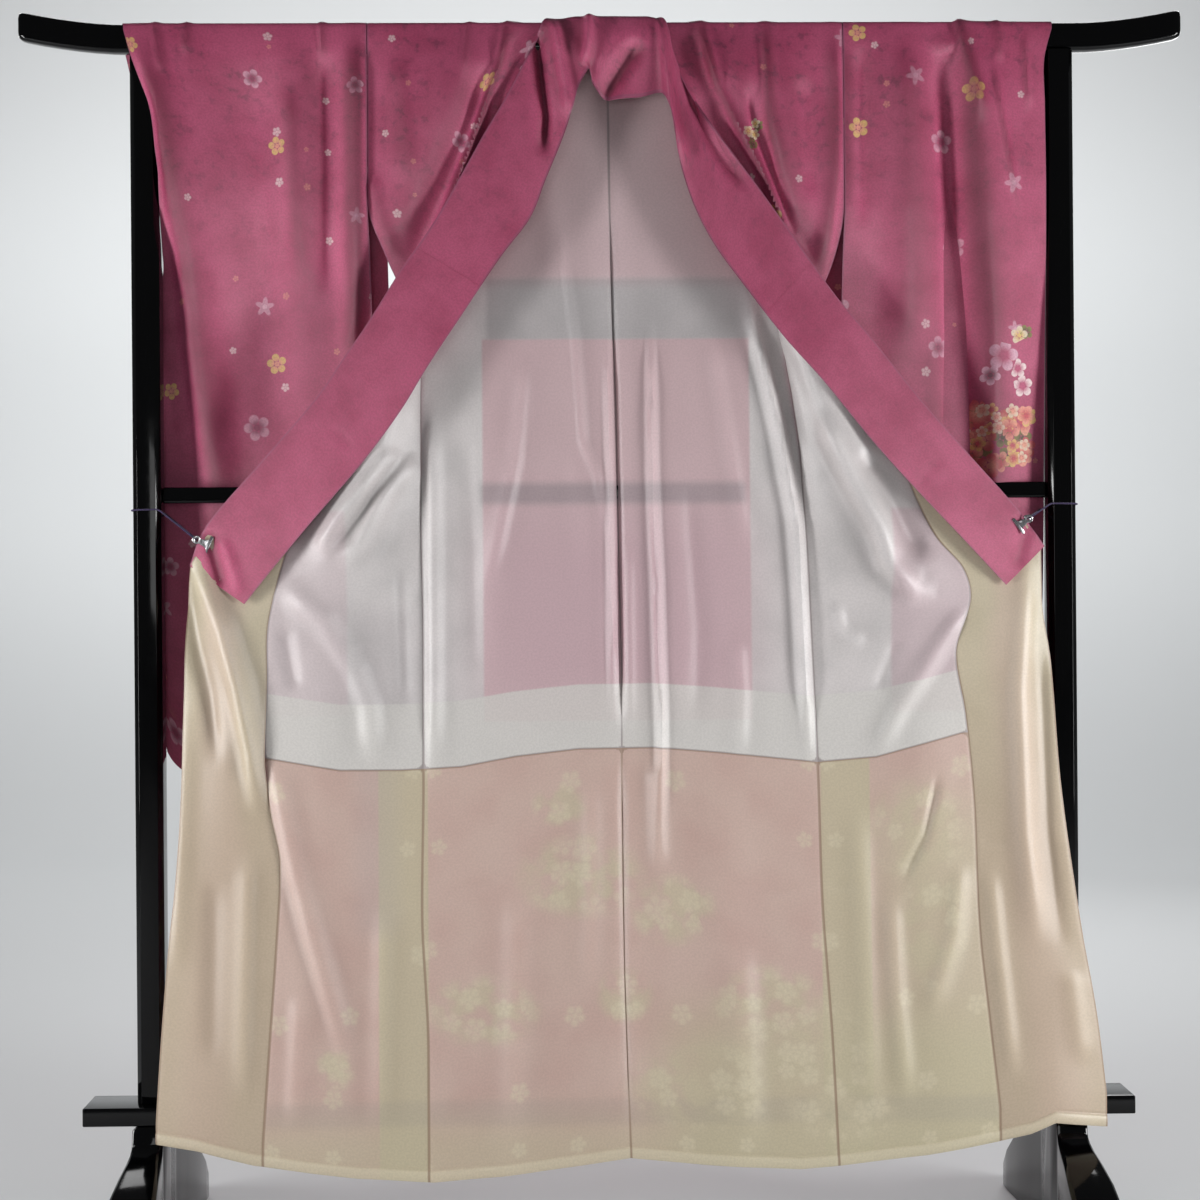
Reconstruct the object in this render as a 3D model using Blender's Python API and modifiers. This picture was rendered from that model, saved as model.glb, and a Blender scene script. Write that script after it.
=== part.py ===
"""A lined silk kimono, hung open over a lacquered kimono stand.

Sizes in the tables are centimetres: "drop" is the distance below the top of the stand's top rail,
"x" is to the viewer's right of the stand's centre, and "y" is away from the viewer.
The suffix R is the wearer's right (negative x) and L the wearer's left (positive x).
"""
import math

import bmesh
import bpy
import numpy as np

CM = 0.01

# Stand, in centimetres
RAIL_TOP = 175.0
RAIL_TALL = 4.0
RAIL_DEEP = 2.6
RAIL_HALF_LENGTH = 83.5
RAIL_UPTURN = 1.9
RAIL_UPTURN_FROM = 68.5
POST_X = 65.6
POST_WIDE = 4.0
POST_CHAMFER = 0.7
MID_RAIL_DROPS = (66.2, 68.5)
MID_RAIL_DEEP = 2.0
PLANK_DROPS = (154.2, 156.8)
PLANK_HALF_LENGTH = 74.9
PLANK_DEEP = 8.0
JOINT_GAP = 0.03

# Cloth, in centimetres
OUTER_THICK = 0.12
LINING_THICK = 0.10
COLLAR_THICK = 0.20
SEAM_GAP = 0.04
SIDE_GAP = 0.09
SLEEVE_GAP = 0.25
LINING_OFF = (OUTER_THICK + LINING_THICK) / 2 + 0.03
OVER_COLLAR_OFF = (COLLAR_THICK + OUTER_THICK) / 2 + 0.22
RAIL_CLOTH_Y = RAIL_DEEP / 2 + 0.35
HEM_DROP = 165.0
LINING_SEAM_DROP = 105.0
LINING_INSET = 0.02

# Over the rail, front to back: y, drop, and how far the neck edge has gone to the centre back
RAIL_PATH = [
    (-RAIL_CLOTH_Y, 1.0, 0.0),
    (-1.30, 0.05, 0.02),
    (-0.50, -0.16, 0.08),
    (0.50, -0.16, 0.40),
    (1.25, 0.05, 0.85),
    (RAIL_CLOTH_Y, 0.9, 1.0),
]
NECK_X = {"R": -8.4, "L": 8.6}

# Side seams: drop, x, y of the front's edge, y of the back's edge
SIDE = {
    "R": [
        (1.0, -33.7, -1.65, 1.65), (12.0, -33.7, -1.9, 1.3), (26.0, -33.7, -2.1, 0.9),
        (33.4, -31.3, -1.7, 0.2), (38.2, -29.2, -1.35, -0.45), (47.0, -26.5, -1.6, -0.8),
        (54.0, -26.6, -1.7, -1.05), (61.0, -26.6, -1.65, -1.3), (68.6, -26.6, -1.6, -1.5),
        (87.0, -26.3, -2.15, -2.15), (107.0, -26.4, -2.9, -2.9), (126.0, -26.7, -3.6, -3.6),
        (147.0, -25.9, -4.4, -4.4), (165.0, -25.9, -5.1, -5.1),
    ],
    "L": [
        (1.0, 34.4, -1.65, 1.65), (12.0, 34.4, -1.9, 1.3), (26.0, 34.4, -2.1, 0.9),
        (33.2, 32.6, -1.7, 0.2), (38.0, 29.6, -1.35, -0.45), (47.0, 25.9, -1.6, -0.8),
        (54.0, 26.9, -1.7, -1.05), (61.0, 27.8, -1.65, -1.3), (68.6, 28.3, -1.6, -1.5),
        (87.0, 29.1, -2.15, -2.15), (107.0, 29.9, -2.9, -2.9), (126.0, 30.3, -3.6, -3.6),
        (147.0, 31.5, -4.4, -4.4), (165.0, 32.2, -5.1, -5.1),
    ],
}
# The two folds that run down each front: drop, x and y of the first, x and y of the second.
# The second turns back behind the collar at the top and comes out below it as a rolled fold.
FRONT_FOLDS = {
    "R": [
        (1.0, -15.2, -1.7, -11.4, -1.7), (5.5, -15.6, -2.6, -12.7, -1.9),
        (14.0, -18.3, -3.3, -14.6, -2.5), (20.0, -20.5, -3.4, -15.0, -2.8),
        (26.0, -22.5, -3.1, -16.0, -3.0), (33.0, -24.0, -2.5, -18.5, -3.2),
        (38.0, -24.6, -2.1, -20.5, -3.4), (43.0, -24.8, -2.1, -23.6, -3.7),
        (50.0, -26.5, -2.6, -27.2, -4.6), (56.0, -27.4, -2.9, -29.4, -5.2),
        (61.0, -28.4, -3.0, -31.2, -5.5), (68.0, -29.6, -3.1, -33.6, -5.6),
        (74.0, -30.8, -2.9, -35.6, -5.1), (79.0, -32.4, -2.8, -37.4, -4.5),
        (86.0, -33.6, -2.8, -39.5, -3.9), (96.0, -34.0, -2.9, -40.5, -3.8),
        (107.0, -34.0, -3.3, -41.0, -4.1), (126.0, -34.0, -3.9, -40.5, -4.5),
        (147.0, -34.0, -4.7, -41.0, -5.2), (165.0, -34.0, -5.3, -41.0, -5.8),
    ],
    "L": [
        (1.0, 14.0, -1.7, 11.0, -1.7), (5.5, 15.6, -2.6, 12.0, -1.9),
        (14.0, 19.5, -3.3, 13.6, -2.5), (20.0, 22.5, -3.4, 15.4, -2.8),
        (26.0, 24.6, -3.1, 17.4, -3.0), (33.0, 25.4, -2.5, 20.0, -3.2),
        (38.0, 25.0, -2.1, 21.6, -3.4), (43.0, 24.8, -2.1, 24.0, -3.7),
        (50.0, 26.3, -2.6, 27.6, -4.5), (56.0, 27.9, -2.9, 30.2, -4.9),
        (61.0, 29.2, -3.0, 32.8, -5.1), (68.0, 31.2, -3.1, 36.6, -5.2),
        (74.0, 33.0, -3.0, 39.8, -5.0), (79.0, 34.8, -2.9, 42.0, -4.5),
        (86.0, 36.8, -2.8, 44.2, -4.0), (96.0, 37.6, -2.9, 44.6, -3.8),
        (107.0, 38.0, -3.3, 45.2, -4.1), (126.0, 38.6, -3.9, 46.0, -4.5),
        (147.0, 40.0, -4.7, 47.4, -5.2), (165.0, 41.0, -5.3, 48.4, -5.8),
    ],
}
# Seam between front and front overlap (okumi), from its upper point down: drop, x, y
OKUMI_SEAM = {
    "R": [
        (44.2, -34.2, -4.2), (55.5, -38.4, -3.9), (68.3, -43.1, -3.7), (80.2, -46.9, -3.7),
        (86.0, -48.2, -3.8), (94.0, -48.4, -3.8), (104.7, -48.8, -3.9), (112.0, -48.0, -4.0),
        (120.0, -46.6, -4.2), (132.0, -47.2, -4.5), (147.0, -48.2, -5.0), (162.0, -49.2, -5.6),
    ],
    "L": [
        (41.2, 34.1, -4.2), (50.4, 38.2, -3.9), (60.4, 41.2, -3.8), (67.1, 43.5, -3.8),
        (73.7, 46.7, -3.8), (79.5, 50.8, -3.9), (84.0, 51.8, -4.0), (92.9, 49.6, -4.0),
        (102.0, 50.9, -3.9), (113.8, 52.0, -4.0), (130.0, 52.5, -4.4), (146.0, 53.8, -5.0),
        (160.3, 55.1, -5.5),
    ],
}
OKUMI_MIDDLE = {
    "R": [
        (49.0, -36.9, -4.35), (53.0, -38.7, -4.3), (60.0, -43.0, -4.1), (72.0, -50.6, -3.9),
        (78.5, -55.0, -4.0),
        (86.0, -54.6, -4.9), (97.0, -53.0, -4.9), (108.0, -52.4, -4.7), (125.0, -54.5, -4.7),
        (145.0, -55.8, -5.4), (162.0, -57.0, -6.0),
    ],
    "L": [
        (46.0, 37.0, -4.35), (54.7, 41.8, -4.3), (62.0, 46.4, -4.1), (70.0, 52.0, -3.9),
        (77.0, 56.6, -4.0),
        (88.0, 57.6, -4.9), (105.0, 58.6, -4.8), (125.0, 60.0, -4.8), (145.0, 61.8, -5.5),
        (162.0, 63.0, -6.4),
    ],
}
# Front edge below the end of the collar: drop, x, y
FRONT_EDGE = {
    "R": [
        (77.8, -58.9, -3.9), (86.6, -59.8, -3.9), (93.8, -60.0, -3.9), (110.7, -60.5, -4.1),
        (125.2, -61.5, -4.4), (134.2, -62.4, -4.7), (146.8, -63.3, -5.1), (162.0, -64.2, -5.5),
    ],
    "L": [
        (76.0, 61.9, -3.9), (83.9, 61.9, -3.9), (94.8, 63.2, -3.9), (111.7, 64.4, -4.1),
        (128.0, 66.4, -4.5), (137.8, 67.8, -4.8), (146.0, 68.9, -5.1), (160.0, 70.3, -5.5),
    ],
}
# Centre back seam: drop, x, y
CENTRE_BACK = [
    (1.0, 0.6, 1.65), (12.0, 0.7, 1.3), (26.0, 0.8, 0.7), (40.0, 1.0, 0.0), (54.0, 1.5, -0.8),
    (68.0, 1.6, -1.5), (80.0, 1.7, -1.9), (94.0, 2.0, -2.4), (111.0, 1.8, -3.0),
    (137.0, 2.0, -4.0), (151.0, 2.3, -4.55), (165.0, 2.7, -5.1),
]
# Broad folds of a hanging panel: x and drop where one starts and ends, half width, how far forward
BACK_FOLDS = {
    "R": [(-7.5, 25, -3.0, 75, 2.2, 0.45), (-14.5, 60, -18.0, 90, 2.4, 0.35),
          (-12.0, 120, -14.0, 165, 4.0, 0.5)],
    "L": [(6.0, 50, 8.0, 120, 2.4, 0.45), (22.0, 52, 26.0, 66, 2.0, 0.3),
          (17.0, 115, 18.0, 165, 4.0, 0.5)],
}
SLEEVE_FOLDS = {
    "R": [(-60.0, 2, -56.0, 34, 2.6, 0.5), (-44.0, 4, -43.0, 60, 3.5, 0.5)],
    "L": [(49.5, 1, 56.0, 48, 2.3, 0.9), (41.0, 6, 42.0, 60, 3.5, 0.5)],
}
# Drop of the hem and of the seam across the lining, by x
HEM_LINE = [
    (-64.2, 158.9), (-58.4, 159.8), (-50.5, 162.0), (-36.0, 164.1), (-25.3, 164.9),
    (-15.5, 164.1), (-4.6, 162.8), (2.6, 161.8), (13.4, 162.9), (26.7, 163.7), (32.1, 163.3),
    (44.8, 161.8), (54.9, 160.0), (59.3, 158.9), (62.8, 157.3), (70.1, 158.1),
]
LINING_SEAM_LINE = [
    (-48.9, 104.8), (-38.2, 106.7), (-29.7, 106.8), (-21.0, 106.4), (-13.3, 105.0),
    (-4.2, 104.0), (6.7, 103.9), (15.8, 104.7), (29.8, 106.2), (38.2, 105.5), (50.5, 102.1),
]
# Sleeve edges: drop, x, y of the front layer, y of the back layer
SLEEVE_INNER = {
    "R": [
        (1.0, -33.80, -1.65, 1.65), (12.0, -33.80, -1.9, 1.3), (26.0, -33.80, -2.1, 0.9),
        (32.0, -33.6, -1.4, 1.5), (38.0, -33.5, -0.5, 2.1), (46.0, -33.4, 0.5, 2.5),
        (56.0, -33.4, 1.2, 2.8), (67.0, -33.3, 1.5, 3.0), (90.0, -33.3, 1.9, 3.2),
        (108.0, -33.3, 2.7, 2.9),
    ],
    "L": [
        (1.0, 34.50, -1.65, 1.65), (12.0, 34.50, -1.9, 1.3), (26.0, 34.50, -2.1, 0.9),
        (32.0, 34.3, -1.4, 1.5), (38.0, 34.2, -0.5, 2.1), (46.0, 34.1, 0.5, 2.5),
        (56.0, 34.1, 1.2, 2.8), (67.0, 34.0, 1.5, 3.0), (90.0, 34.0, 1.9, 3.2),
        (108.0, 34.0, 2.7, 2.9),
    ],
}
# Wrist side: drop, x and y of the front layer, and how far in x and y the back layer is from it.
# The wrist is open above a drop of 28, and there the right sleeve has its post between its layers.
SLEEVE_OUTER = {
    "R": [
        (1.0, -68.4, -1.65, -1.0, 3.3), (5.0, -67.2, -2.3, -1.4, 4.7),
        (8.5, -65.9, -2.4, -1.9, 5.0), (11.5, -64.8, -2.4, -2.0, 5.0),
        (18.0, -63.7, -2.4, -0.9, 5.0), (22.0, -63.2, -2.1, -0.2, 4.6),
        (25.0, -62.9, -1.6, 0.0, 2.4), (28.0, -62.8, -0.8, 0.0, 0.3),
        (32.0, -62.7, 0.6, 0.0, 0.0), (36.0, -62.8, 1.6, 0.0, 0.0),
        (40.0, -62.9, 2.5, 0.0, 0.0), (48.0, -63.7, 2.9, 0.0, 0.0),
        (60.0, -64.4, 3.0, 0.0, 0.0), (108.0, -64.2, 2.8, 0.0, 0.0),
    ],
    "L": [
        (1.0, 64.6, -1.65, 0.4, 3.3), (5.0, 63.0, -1.9, 0.2, 3.8), (12.0, 62.9, -2.0, 0.1, 3.8),
        (18.0, 62.8, -2.0, 0.1, 3.2), (24.0, 62.8, -1.6, 0.0, 1.4), (28.0, 62.7, -1.2, 0.0, 0.3),
        (32.0, 62.7, -0.7, 0.0, 0.0), (40.0, 62.7, 0.4, 0.0, 0.0), (52.0, 62.8, 1.2, 0.0, 0.0),
        (60.0, 62.8, 1.5, 0.0, 0.0), (90.0, 62.6, 2.0, 0.0, 0.0), (108.0, 62.4, 2.8, 0.0, 0.0),
    ],
}
SLEEVE_ROUND = 6.0

# Collar, from its end on the wearer's right round the neck to the other end: x, drop and y of the
# edge sewn to the neck, the same of the free edge, how far its middle stands forward, and how far
# the row goes over the rail (0 hangs in front, 1 goes over the top).
COLLAR = [
    (-59.1, 77.5, -4.5, -51.3, 83.0, -5.2, 0.2, 0.0),
    (-56.5, 71.7, -4.7, -47.7, 78.6, -5.6, 0.3, 0.0),
    (-48.9, 63.0, -4.8, -42.0, 71.9, -6.2, 0.2, 0.0),
    (-41.1, 54.1, -5.0, -34.6, 63.4, -6.4, 0.1, 0.0),
    (-37.2, 48.5, -5.0, -29.1, 56.1, -6.4, 0.1, 0.0),
    (-33.4, 43.0, -4.9, -25.1, 49.6, -6.2, 0.1, 0.0),
    (-29.1, 36.1, -4.6, -20.4, 42.5, -5.6, 0.1, 0.0),
    (-24.3, 29.2, -4.3, -14.9, 34.3, -5.1, 0.1, 0.0),
    (-20.6, 22.8, -4.1, -10.6, 28.6, -4.7, 0.1, 0.0),
    (-17.0, 16.3, -3.7, -8.3, 23.0, -4.5, 0.0, 0.0),
    (-14.2, 11.5, -3.1, -6.0, 17.5, -4.4, -0.1, 0.0),
    (-12.1, 7.5, -2.6, -4.6, 13.4, -4.2, -0.2, 0.0),
    (-10.4, 4.0, -2.1, -3.6, 9.8, -4.0, -0.2, 0.0),
    (-9.2, 1.4, -2.1, -2.4, 7.6, -3.9, 0.0, 0.0),
    (-8.5, -0.2, -1.75, -2.1, 7.2, -3.8, 0.2, 0.4),
    (-7.4, -0.6, -0.5, -1.8, 7.8, -3.6, 0.2, 0.8),
    (-4.6, -0.6, 0.7, -1.3, 9.6, -3.3, 0.0, 1.0),
    (0.6, -0.5, 1.2, 0.8, 11.3, -3.2, 0.0, 1.0),
    (5.6, -0.6, 0.7, 5.0, 11.2, -3.3, 0.0, 1.0),
    (7.6, -0.6, -0.5, 7.8, 10.6, -3.4, 0.2, 0.9),
    (8.7, -0.2, -1.75, 8.6, 11.0, -3.7, 0.2, 0.4),
    (9.4, 1.4, -2.1, 9.2, 12.4, -4.0, 0.0, 0.0),
    (9.9, 4.0, -2.1, 9.8, 15.0, -4.2, -0.5, 0.0),
    (12.1, 9.6, -2.8, 10.6, 20.0, -4.4, -0.4, 0.0),
    (16.0, 15.9, -3.6, 12.6, 26.6, -4.5, -0.1, 0.0),
    (20.8, 22.7, -4.1, 15.6, 32.6, -4.8, 0.1, 0.0),
    (26.2, 30.4, -4.4, 20.0, 38.8, -5.3, 0.1, 0.0),
    (32.4, 39.4, -4.8, 25.4, 46.0, -6.0, 0.1, 0.0),
    (38.2, 46.5, -5.0, 31.0, 52.4, -6.3, 0.1, 0.0),
    (44.7, 54.7, -5.0, 37.6, 60.6, -6.3, 0.1, 0.0),
    (50.7, 61.6, -4.9, 43.4, 67.1, -6.1, 0.1, 0.0),
    (58.6, 70.5, -4.7, 50.5, 74.6, -5.8, 0.2, 0.0),
    (62.3, 75.6, -4.5, 56.6, 81.1, -5.3, 0.2, 0.0),
]
OVER_COLLAR_ROWS = (6.5, 26.5)

FRONT_SHARES = (0, 0.5, 1, 1.5, 2, 2.4, 2.75, 3, 3.25, 3.6, 4)
FRONT_DROPS = (165, 158, 148, 135, 120, 105, 95, 87, 80, 75, 70, 65, 60, 55, 50, 45, 40, 35, 30,
               24, 18, 12, 7, 3)
BACK_DROPS = (3, 14, 26, 38, 50, 60, 68, 80, 92, 105, 118, 132, 148, 165)
SLEEVE_DROPS = (108, 104, 98, 88, 77, 67, 58, 48, 40, 36, 32, 28, 25, 22, 18, 12, 7, 3)
UPPER_LINING_TOP = {"R": 60, "L": 55}

# Clips and ties
CLIP_LONG = 2.4
CLIP_WIDE = 2.2
CLIP_GAP = 1.30
CLIP_WALL = 0.10
CLIP_SET_BACK = 0.20
CLIP_TILT = 0.05
CORD_RADIUS = 0.12
TIE_DROP = 69.4
# Side, label, drop of the clip on the collar's sewn edge, and which way its bend points
CLIPS = [("R", "right", 74.0, 156), ("L", "left", 71.9, 36)]


# ---------------------------------------------------------------- reading the tables

def read(rows, at):
    """Every column of a table, read smoothly at one value of its first column."""
    rows = np.array(rows, float)
    knots, values = rows[:, 0], rows[:, 1:]
    steps = np.diff(values, axis=0) / np.diff(knots)[:, None]
    slopes = np.gradient(values, knots, axis=0)
    slopes[1:-1] *= steps[:-1] * steps[1:] > 0
    return between(knots, values, slopes, at)


def between(knots, values, slopes, at):
    """The values on smooth curves of the given slopes, at one place among the knots."""
    at = min(max(at, knots[0]), knots[-1])
    i = min(int(np.searchsorted(knots, at, side="right")) - 1, len(knots) - 2)
    span = knots[i + 1] - knots[i]
    t = (at - knots[i]) / span
    return (
        (1 + 2 * t) * (1 - t) ** 2 * values[i]
        + t * (1 - t) ** 2 * span * slopes[i]
        + t * t * (3 - 2 * t) * values[i + 1]
        + t * t * (t - 1) * span * slopes[i + 1]
    )


def through(points, share):
    """A point on the smooth curve through the given ones; share counts them from 0."""
    points = np.array(points, float)
    spans = np.linalg.norm(np.diff(points, axis=0), axis=1)
    knots = np.concatenate([[0.0], np.cumsum(spans)])
    at = np.interp(share, np.arange(len(points)), knots)
    return between(knots, points, np.gradient(points, knots, axis=0), at)


def smooth(low, high, value):
    t = min(max((value - low) / (high - low), 0.0), 1.0)
    return t * t * (3 - 2 * t)


def folded(folds, x, drop):
    """How far forward broad folds lift a panel at a place."""
    lift = 0.0
    for x0, drop0, x1, drop1, width, forward in folds:
        t = (drop - drop0) / (drop1 - drop0)
        along = smooth(-0.25, 0.15, t) * (1 - smooth(0.85, 1.25, t))
        middle = x0 + (x1 - x0) * t
        lift += forward * along * math.exp(-((x - middle) / width) ** 2)
    return lift


def hung(x, y, drop):
    """A point in metres, with its drop fitted to the hem and the seam across the lining."""
    hem = np.interp(x, *np.array(HEM_LINE).T) - HEM_DROP
    seam = np.interp(x, *np.array(LINING_SEAM_LINE).T) - LINING_SEAM_DROP
    low = smooth(LINING_SEAM_DROP + 5, HEM_DROP, drop)
    near = max(0.0, 1 - abs(drop - LINING_SEAM_DROP) / 30)
    return np.array([x, y, RAIL_TOP - drop - hem * low - seam * near * (2 - near)]) * CM


def collar_row(at):
    """The four points across the collar at a row number."""
    rows = np.array(COLLAR)
    row = read(np.column_stack([np.arange(len(rows)), rows]), at)
    seam, free = row[0:3], row[3:6]
    forward, over = row[6], row[7]
    upper = seam + (free - seam) / 3 - [0, 0, forward]
    lower = seam + (free - seam) * 2 / 3 - [0, 0, forward]
    rail_upper = np.array([upper[0], -0.62, -1.55])
    rail_lower = np.array([lower[0], 0.9, -2.45])
    upper = upper + (rail_upper - upper) * over
    lower = lower + (rail_lower - lower) * over
    return [seam, upper, lower, free]


def collar_seam(side, drop):
    """x and y of the collar's sewn edge at a drop."""
    rows = COLLAR[:14][::-1] if side == "R" else COLLAR[21:]
    return read([(row[1], row[0], row[2]) for row in rows], drop)


# ---------------------------------------------------------------- cloth surfaces

def sign(side):
    return -1 if side == "R" else 1


def front_section(side, drop):
    """Points across a front, from its side edge to its inner edge."""
    x, y_front, _ = read(SIDE[side], drop)
    first_x, first_y, second_x, second_y = read(FRONT_FOLDS[side], drop)
    apart = smooth(50, 60, drop)
    start = (x + sign(side) * SIDE_GAP * apart, y_front)
    if drop < OKUMI_SEAM[side][0][0]:
        end_x, end_y = collar_seam(side, drop)
        end = (end_x - sign(side) * 0.3, end_y + 0.3)
    else:
        end_x, end_y = read(OKUMI_SEAM[side], drop)
        end = (end_x - sign(side) * SEAM_GAP, end_y)
    # Behind the collar the cloth dips back before it turns round the second fold
    dip = smooth(5, 16, drop) * (1 - smooth(34, 46, drop))
    between_x = first_x + (second_x - first_x) * (0.5 + 0.15 * dip)
    between_y = (first_y + second_y) / 2
    between_y += (-1.7 - between_y) * dip
    return [start, (first_x, first_y), (between_x, between_y), (second_x, second_y), end]


def front_point(side, share, drop):
    x, y = through(front_section(side, drop), share)
    return hung(x, y, drop)


def back_point(side, share, drop):
    x_side, _, y_side = read(SIDE[side], drop)
    x_centre, y_centre = read(CENTRE_BACK, drop)
    start = x_side - sign(side) * SIDE_GAP * smooth(50, 60, drop)
    end = x_centre + sign(side) * SEAM_GAP
    t = share / FRONT_SHARES[-1]
    x = start + (end - start) * t
    y = y_side + (y_centre - y_side) * t
    y -= folded(BACK_FOLDS[side], x, drop) * math.sin(math.pi * t) ** 0.5
    return hung(x, y, drop)


def shoulder_point(side, share, step):
    """A point of the body where it goes over the rail."""
    y, drop, gone = RAIL_PATH[step]
    x_side = SIDE[side][0][1]
    x_centre = CENTRE_BACK[0][1] + sign(side) * SEAM_GAP
    x_front, _ = through(front_section(side, FRONT_DROPS[-1]), share)
    x_front += (NECK_X[side] - x_front) * smooth(3, 4, share)
    x_back = x_side + (x_centre - x_side) * share / FRONT_SHARES[-1]
    x = x_front + (x_back - x_front) * gone
    return np.array([x, y, RAIL_TOP - drop]) * CM


def body_points(side):
    rows = [[front_point(side, s, d) for s in FRONT_SHARES] for d in FRONT_DROPS]
    rows += [[shoulder_point(side, s, k) for s in FRONT_SHARES] for k in range(len(RAIL_PATH))]
    rows += [[back_point(side, s, d) for s in FRONT_SHARES] for d in BACK_DROPS]
    return np.array(rows)


def okumi_section(side, drop):
    seam_x, seam_y = read(OKUMI_SEAM[side], drop)
    middle_x, middle_y = read(OKUMI_MIDDLE[side], drop)
    if drop < FRONT_EDGE[side][0][0]:
        edge_x, edge_y = collar_seam(side, drop)
        edge = (edge_x - sign(side) * 0.3, edge_y + 0.3)
    else:
        edge = read(FRONT_EDGE[side], drop)
    return [(seam_x + sign(side) * SEAM_GAP, seam_y), (middle_x, middle_y), tuple(edge)]


def okumi_point(side, share, drop):
    x, y = through(okumi_section(side, drop), share)
    return hung(x, y, drop)


OKUMI_SHARES = (0, 0.5, 1, 1.5, 2)
OKUMI_DROPS = FRONT_DROPS[: FRONT_DROPS.index(50) + 1]


def okumi_points(side):
    return np.array([[okumi_point(side, s, d) for s in OKUMI_SHARES] for d in OKUMI_DROPS])


SLEEVE_SHARES = (0, 0.12, 0.25, 0.37, 0.5, 0.62, 0.75, 0.88, 1)


def sleeve_point(side, share, drop, layer):
    """A point of a sleeve's front (layer 0) or back (layer 1), rounded at the lower corner."""
    bottom = SLEEVE_DROPS[0]
    inner = read(SLEEVE_INNER[side], drop)
    outer = read(SLEEVE_OUTER[side], drop)
    x0, y0 = inner[0], inner[1 + layer]
    x1 = outer[0] + outer[2] * layer
    y1 = outer[1] + max(outer[3], SLEEVE_GAP) * layer
    x = x0 + (x1 - x0) * share
    y = y0 + (y1 - y0) * share
    calm = 1 - smooth(85, bottom, drop)
    inside = math.sin(math.pi * share)
    y -= folded(SLEEVE_FOLDS[side], x, drop) * calm * inside * (1 if layer == 0 else -0.5)
    from_edge = abs(x1 - x)
    corner = max(0.0, SLEEVE_ROUND - from_edge)
    rise = SLEEVE_ROUND - math.sqrt(SLEEVE_ROUND ** 2 - corner ** 2)
    z = RAIL_TOP - drop + rise * smooth(70, bottom, drop)
    return np.array([x, y, z]) * CM


def sleeve_points(side):
    rows = [[sleeve_point(side, s, d, 0) for s in SLEEVE_SHARES] for d in SLEEVE_DROPS]
    x_inner = SLEEVE_INNER[side][0][1]
    for y, drop, _ in RAIL_PATH:
        back = (y + RAIL_CLOTH_Y) / (2 * RAIL_CLOTH_Y)
        first = SLEEVE_OUTER[side][0]
        x_outer = first[1] + first[3] * back
        xs = [x_inner + (x_outer - x_inner) * s for s in SLEEVE_SHARES]
        rows.append([np.array([x, y, RAIL_TOP - drop]) * CM for x in xs])
    rows += [[sleeve_point(side, s, d, 1) for s in SLEEVE_SHARES] for d in SLEEVE_DROPS[::-1]]
    return np.array(rows)


def collar_points(first, last, count, columns=5):
    rows = []
    for at in np.linspace(first, last, count):
        controls = collar_row(at)
        row = [through(controls, share) for share in np.linspace(0, 3, columns)]
        rows.append([np.array([x, y, RAIL_TOP - drop]) * CM for x, drop, y in row])
    return np.array(rows)


def moved_out(points, distance, toward_viewer=True):
    """A sheet's points moved along its normals, to lie on its face."""
    along = np.gradient(points, axis=0)
    across = np.gradient(points, axis=1)
    normal = np.cross(across, along)
    normal /= np.linalg.norm(normal, axis=2)[:, :, None]
    facing = -1 if toward_viewer == (normal[:, :, 1].mean() > 0) else 1
    return points + normal * facing * distance * CM


def over_collar_points():
    """The cover's sheet: out from the collar, and up and forward where the neck turns sharply."""
    first, last = OVER_COLLAR_ROWS
    count = int(2 * (last - first)) + 1
    collar = collar_points(first, last, count)
    points = moved_out(collar, OVER_COLLAR_OFF)
    up = collar + np.array([0, -0.9, 0.9]) * OVER_COLLAR_OFF * CM
    for i, at in enumerate(np.linspace(first, last, count)):
        neck = smooth(12, 14, at) * (1 - smooth(20.5, 22.5, at))
        points[i] += (up[i] - points[i]) * neck
    return inset(points, 0.1)


def inset(points, ends):
    """A sheet's points with its two side edges drawn in."""
    points = points.copy()
    for edge, inner in ((0, 1), (-1, -2)):
        way = points[:, inner] - points[:, edge]
        length = np.linalg.norm(way, axis=1)[:, None]
        points[:, edge] += way / length * ends * CM
    return points


# ---------------------------------------------------------------- making objects

def new_collection(name):
    made = bpy.data.collections.new(name)
    bpy.context.scene.collection.children.link(made)
    return made


def new_material(name, colour, roughness, metallic=0.0):
    made = bpy.data.materials.new(name)
    made.use_nodes = True
    shader = made.node_tree.nodes["Principled BSDF"]
    shader.inputs["Base Color"].default_value = (*colour, 1)
    shader.inputs["Roughness"].default_value = roughness
    shader.inputs["Metallic"].default_value = metallic
    return made


def add_object(name, mesh, material):
    made = bpy.data.objects.new(name, mesh)
    made.data.materials.append(material)
    PART.objects.link(made)
    return made


def add_cloth(name, points, thick, material):
    """A cut piece: a grid laid on its surface and given a wall."""
    rows, columns = points.shape[:2]
    grid = bmesh.new()
    bmesh.ops.create_grid(grid, x_segments=columns - 1, y_segments=rows - 1, size=1)
    for vertex, place in zip(grid.verts, points.reshape(-1, 3)):
        vertex.co = place
    mesh = bpy.data.meshes.new(name)
    grid.to_mesh(mesh)
    grid.free()
    mesh.shade_smooth()
    made = add_object(name, mesh, material)
    wall = made.modifiers.new("Wall", "SOLIDIFY")
    wall.thickness = thick * CM
    wall.offset = 0
    return made


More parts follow.
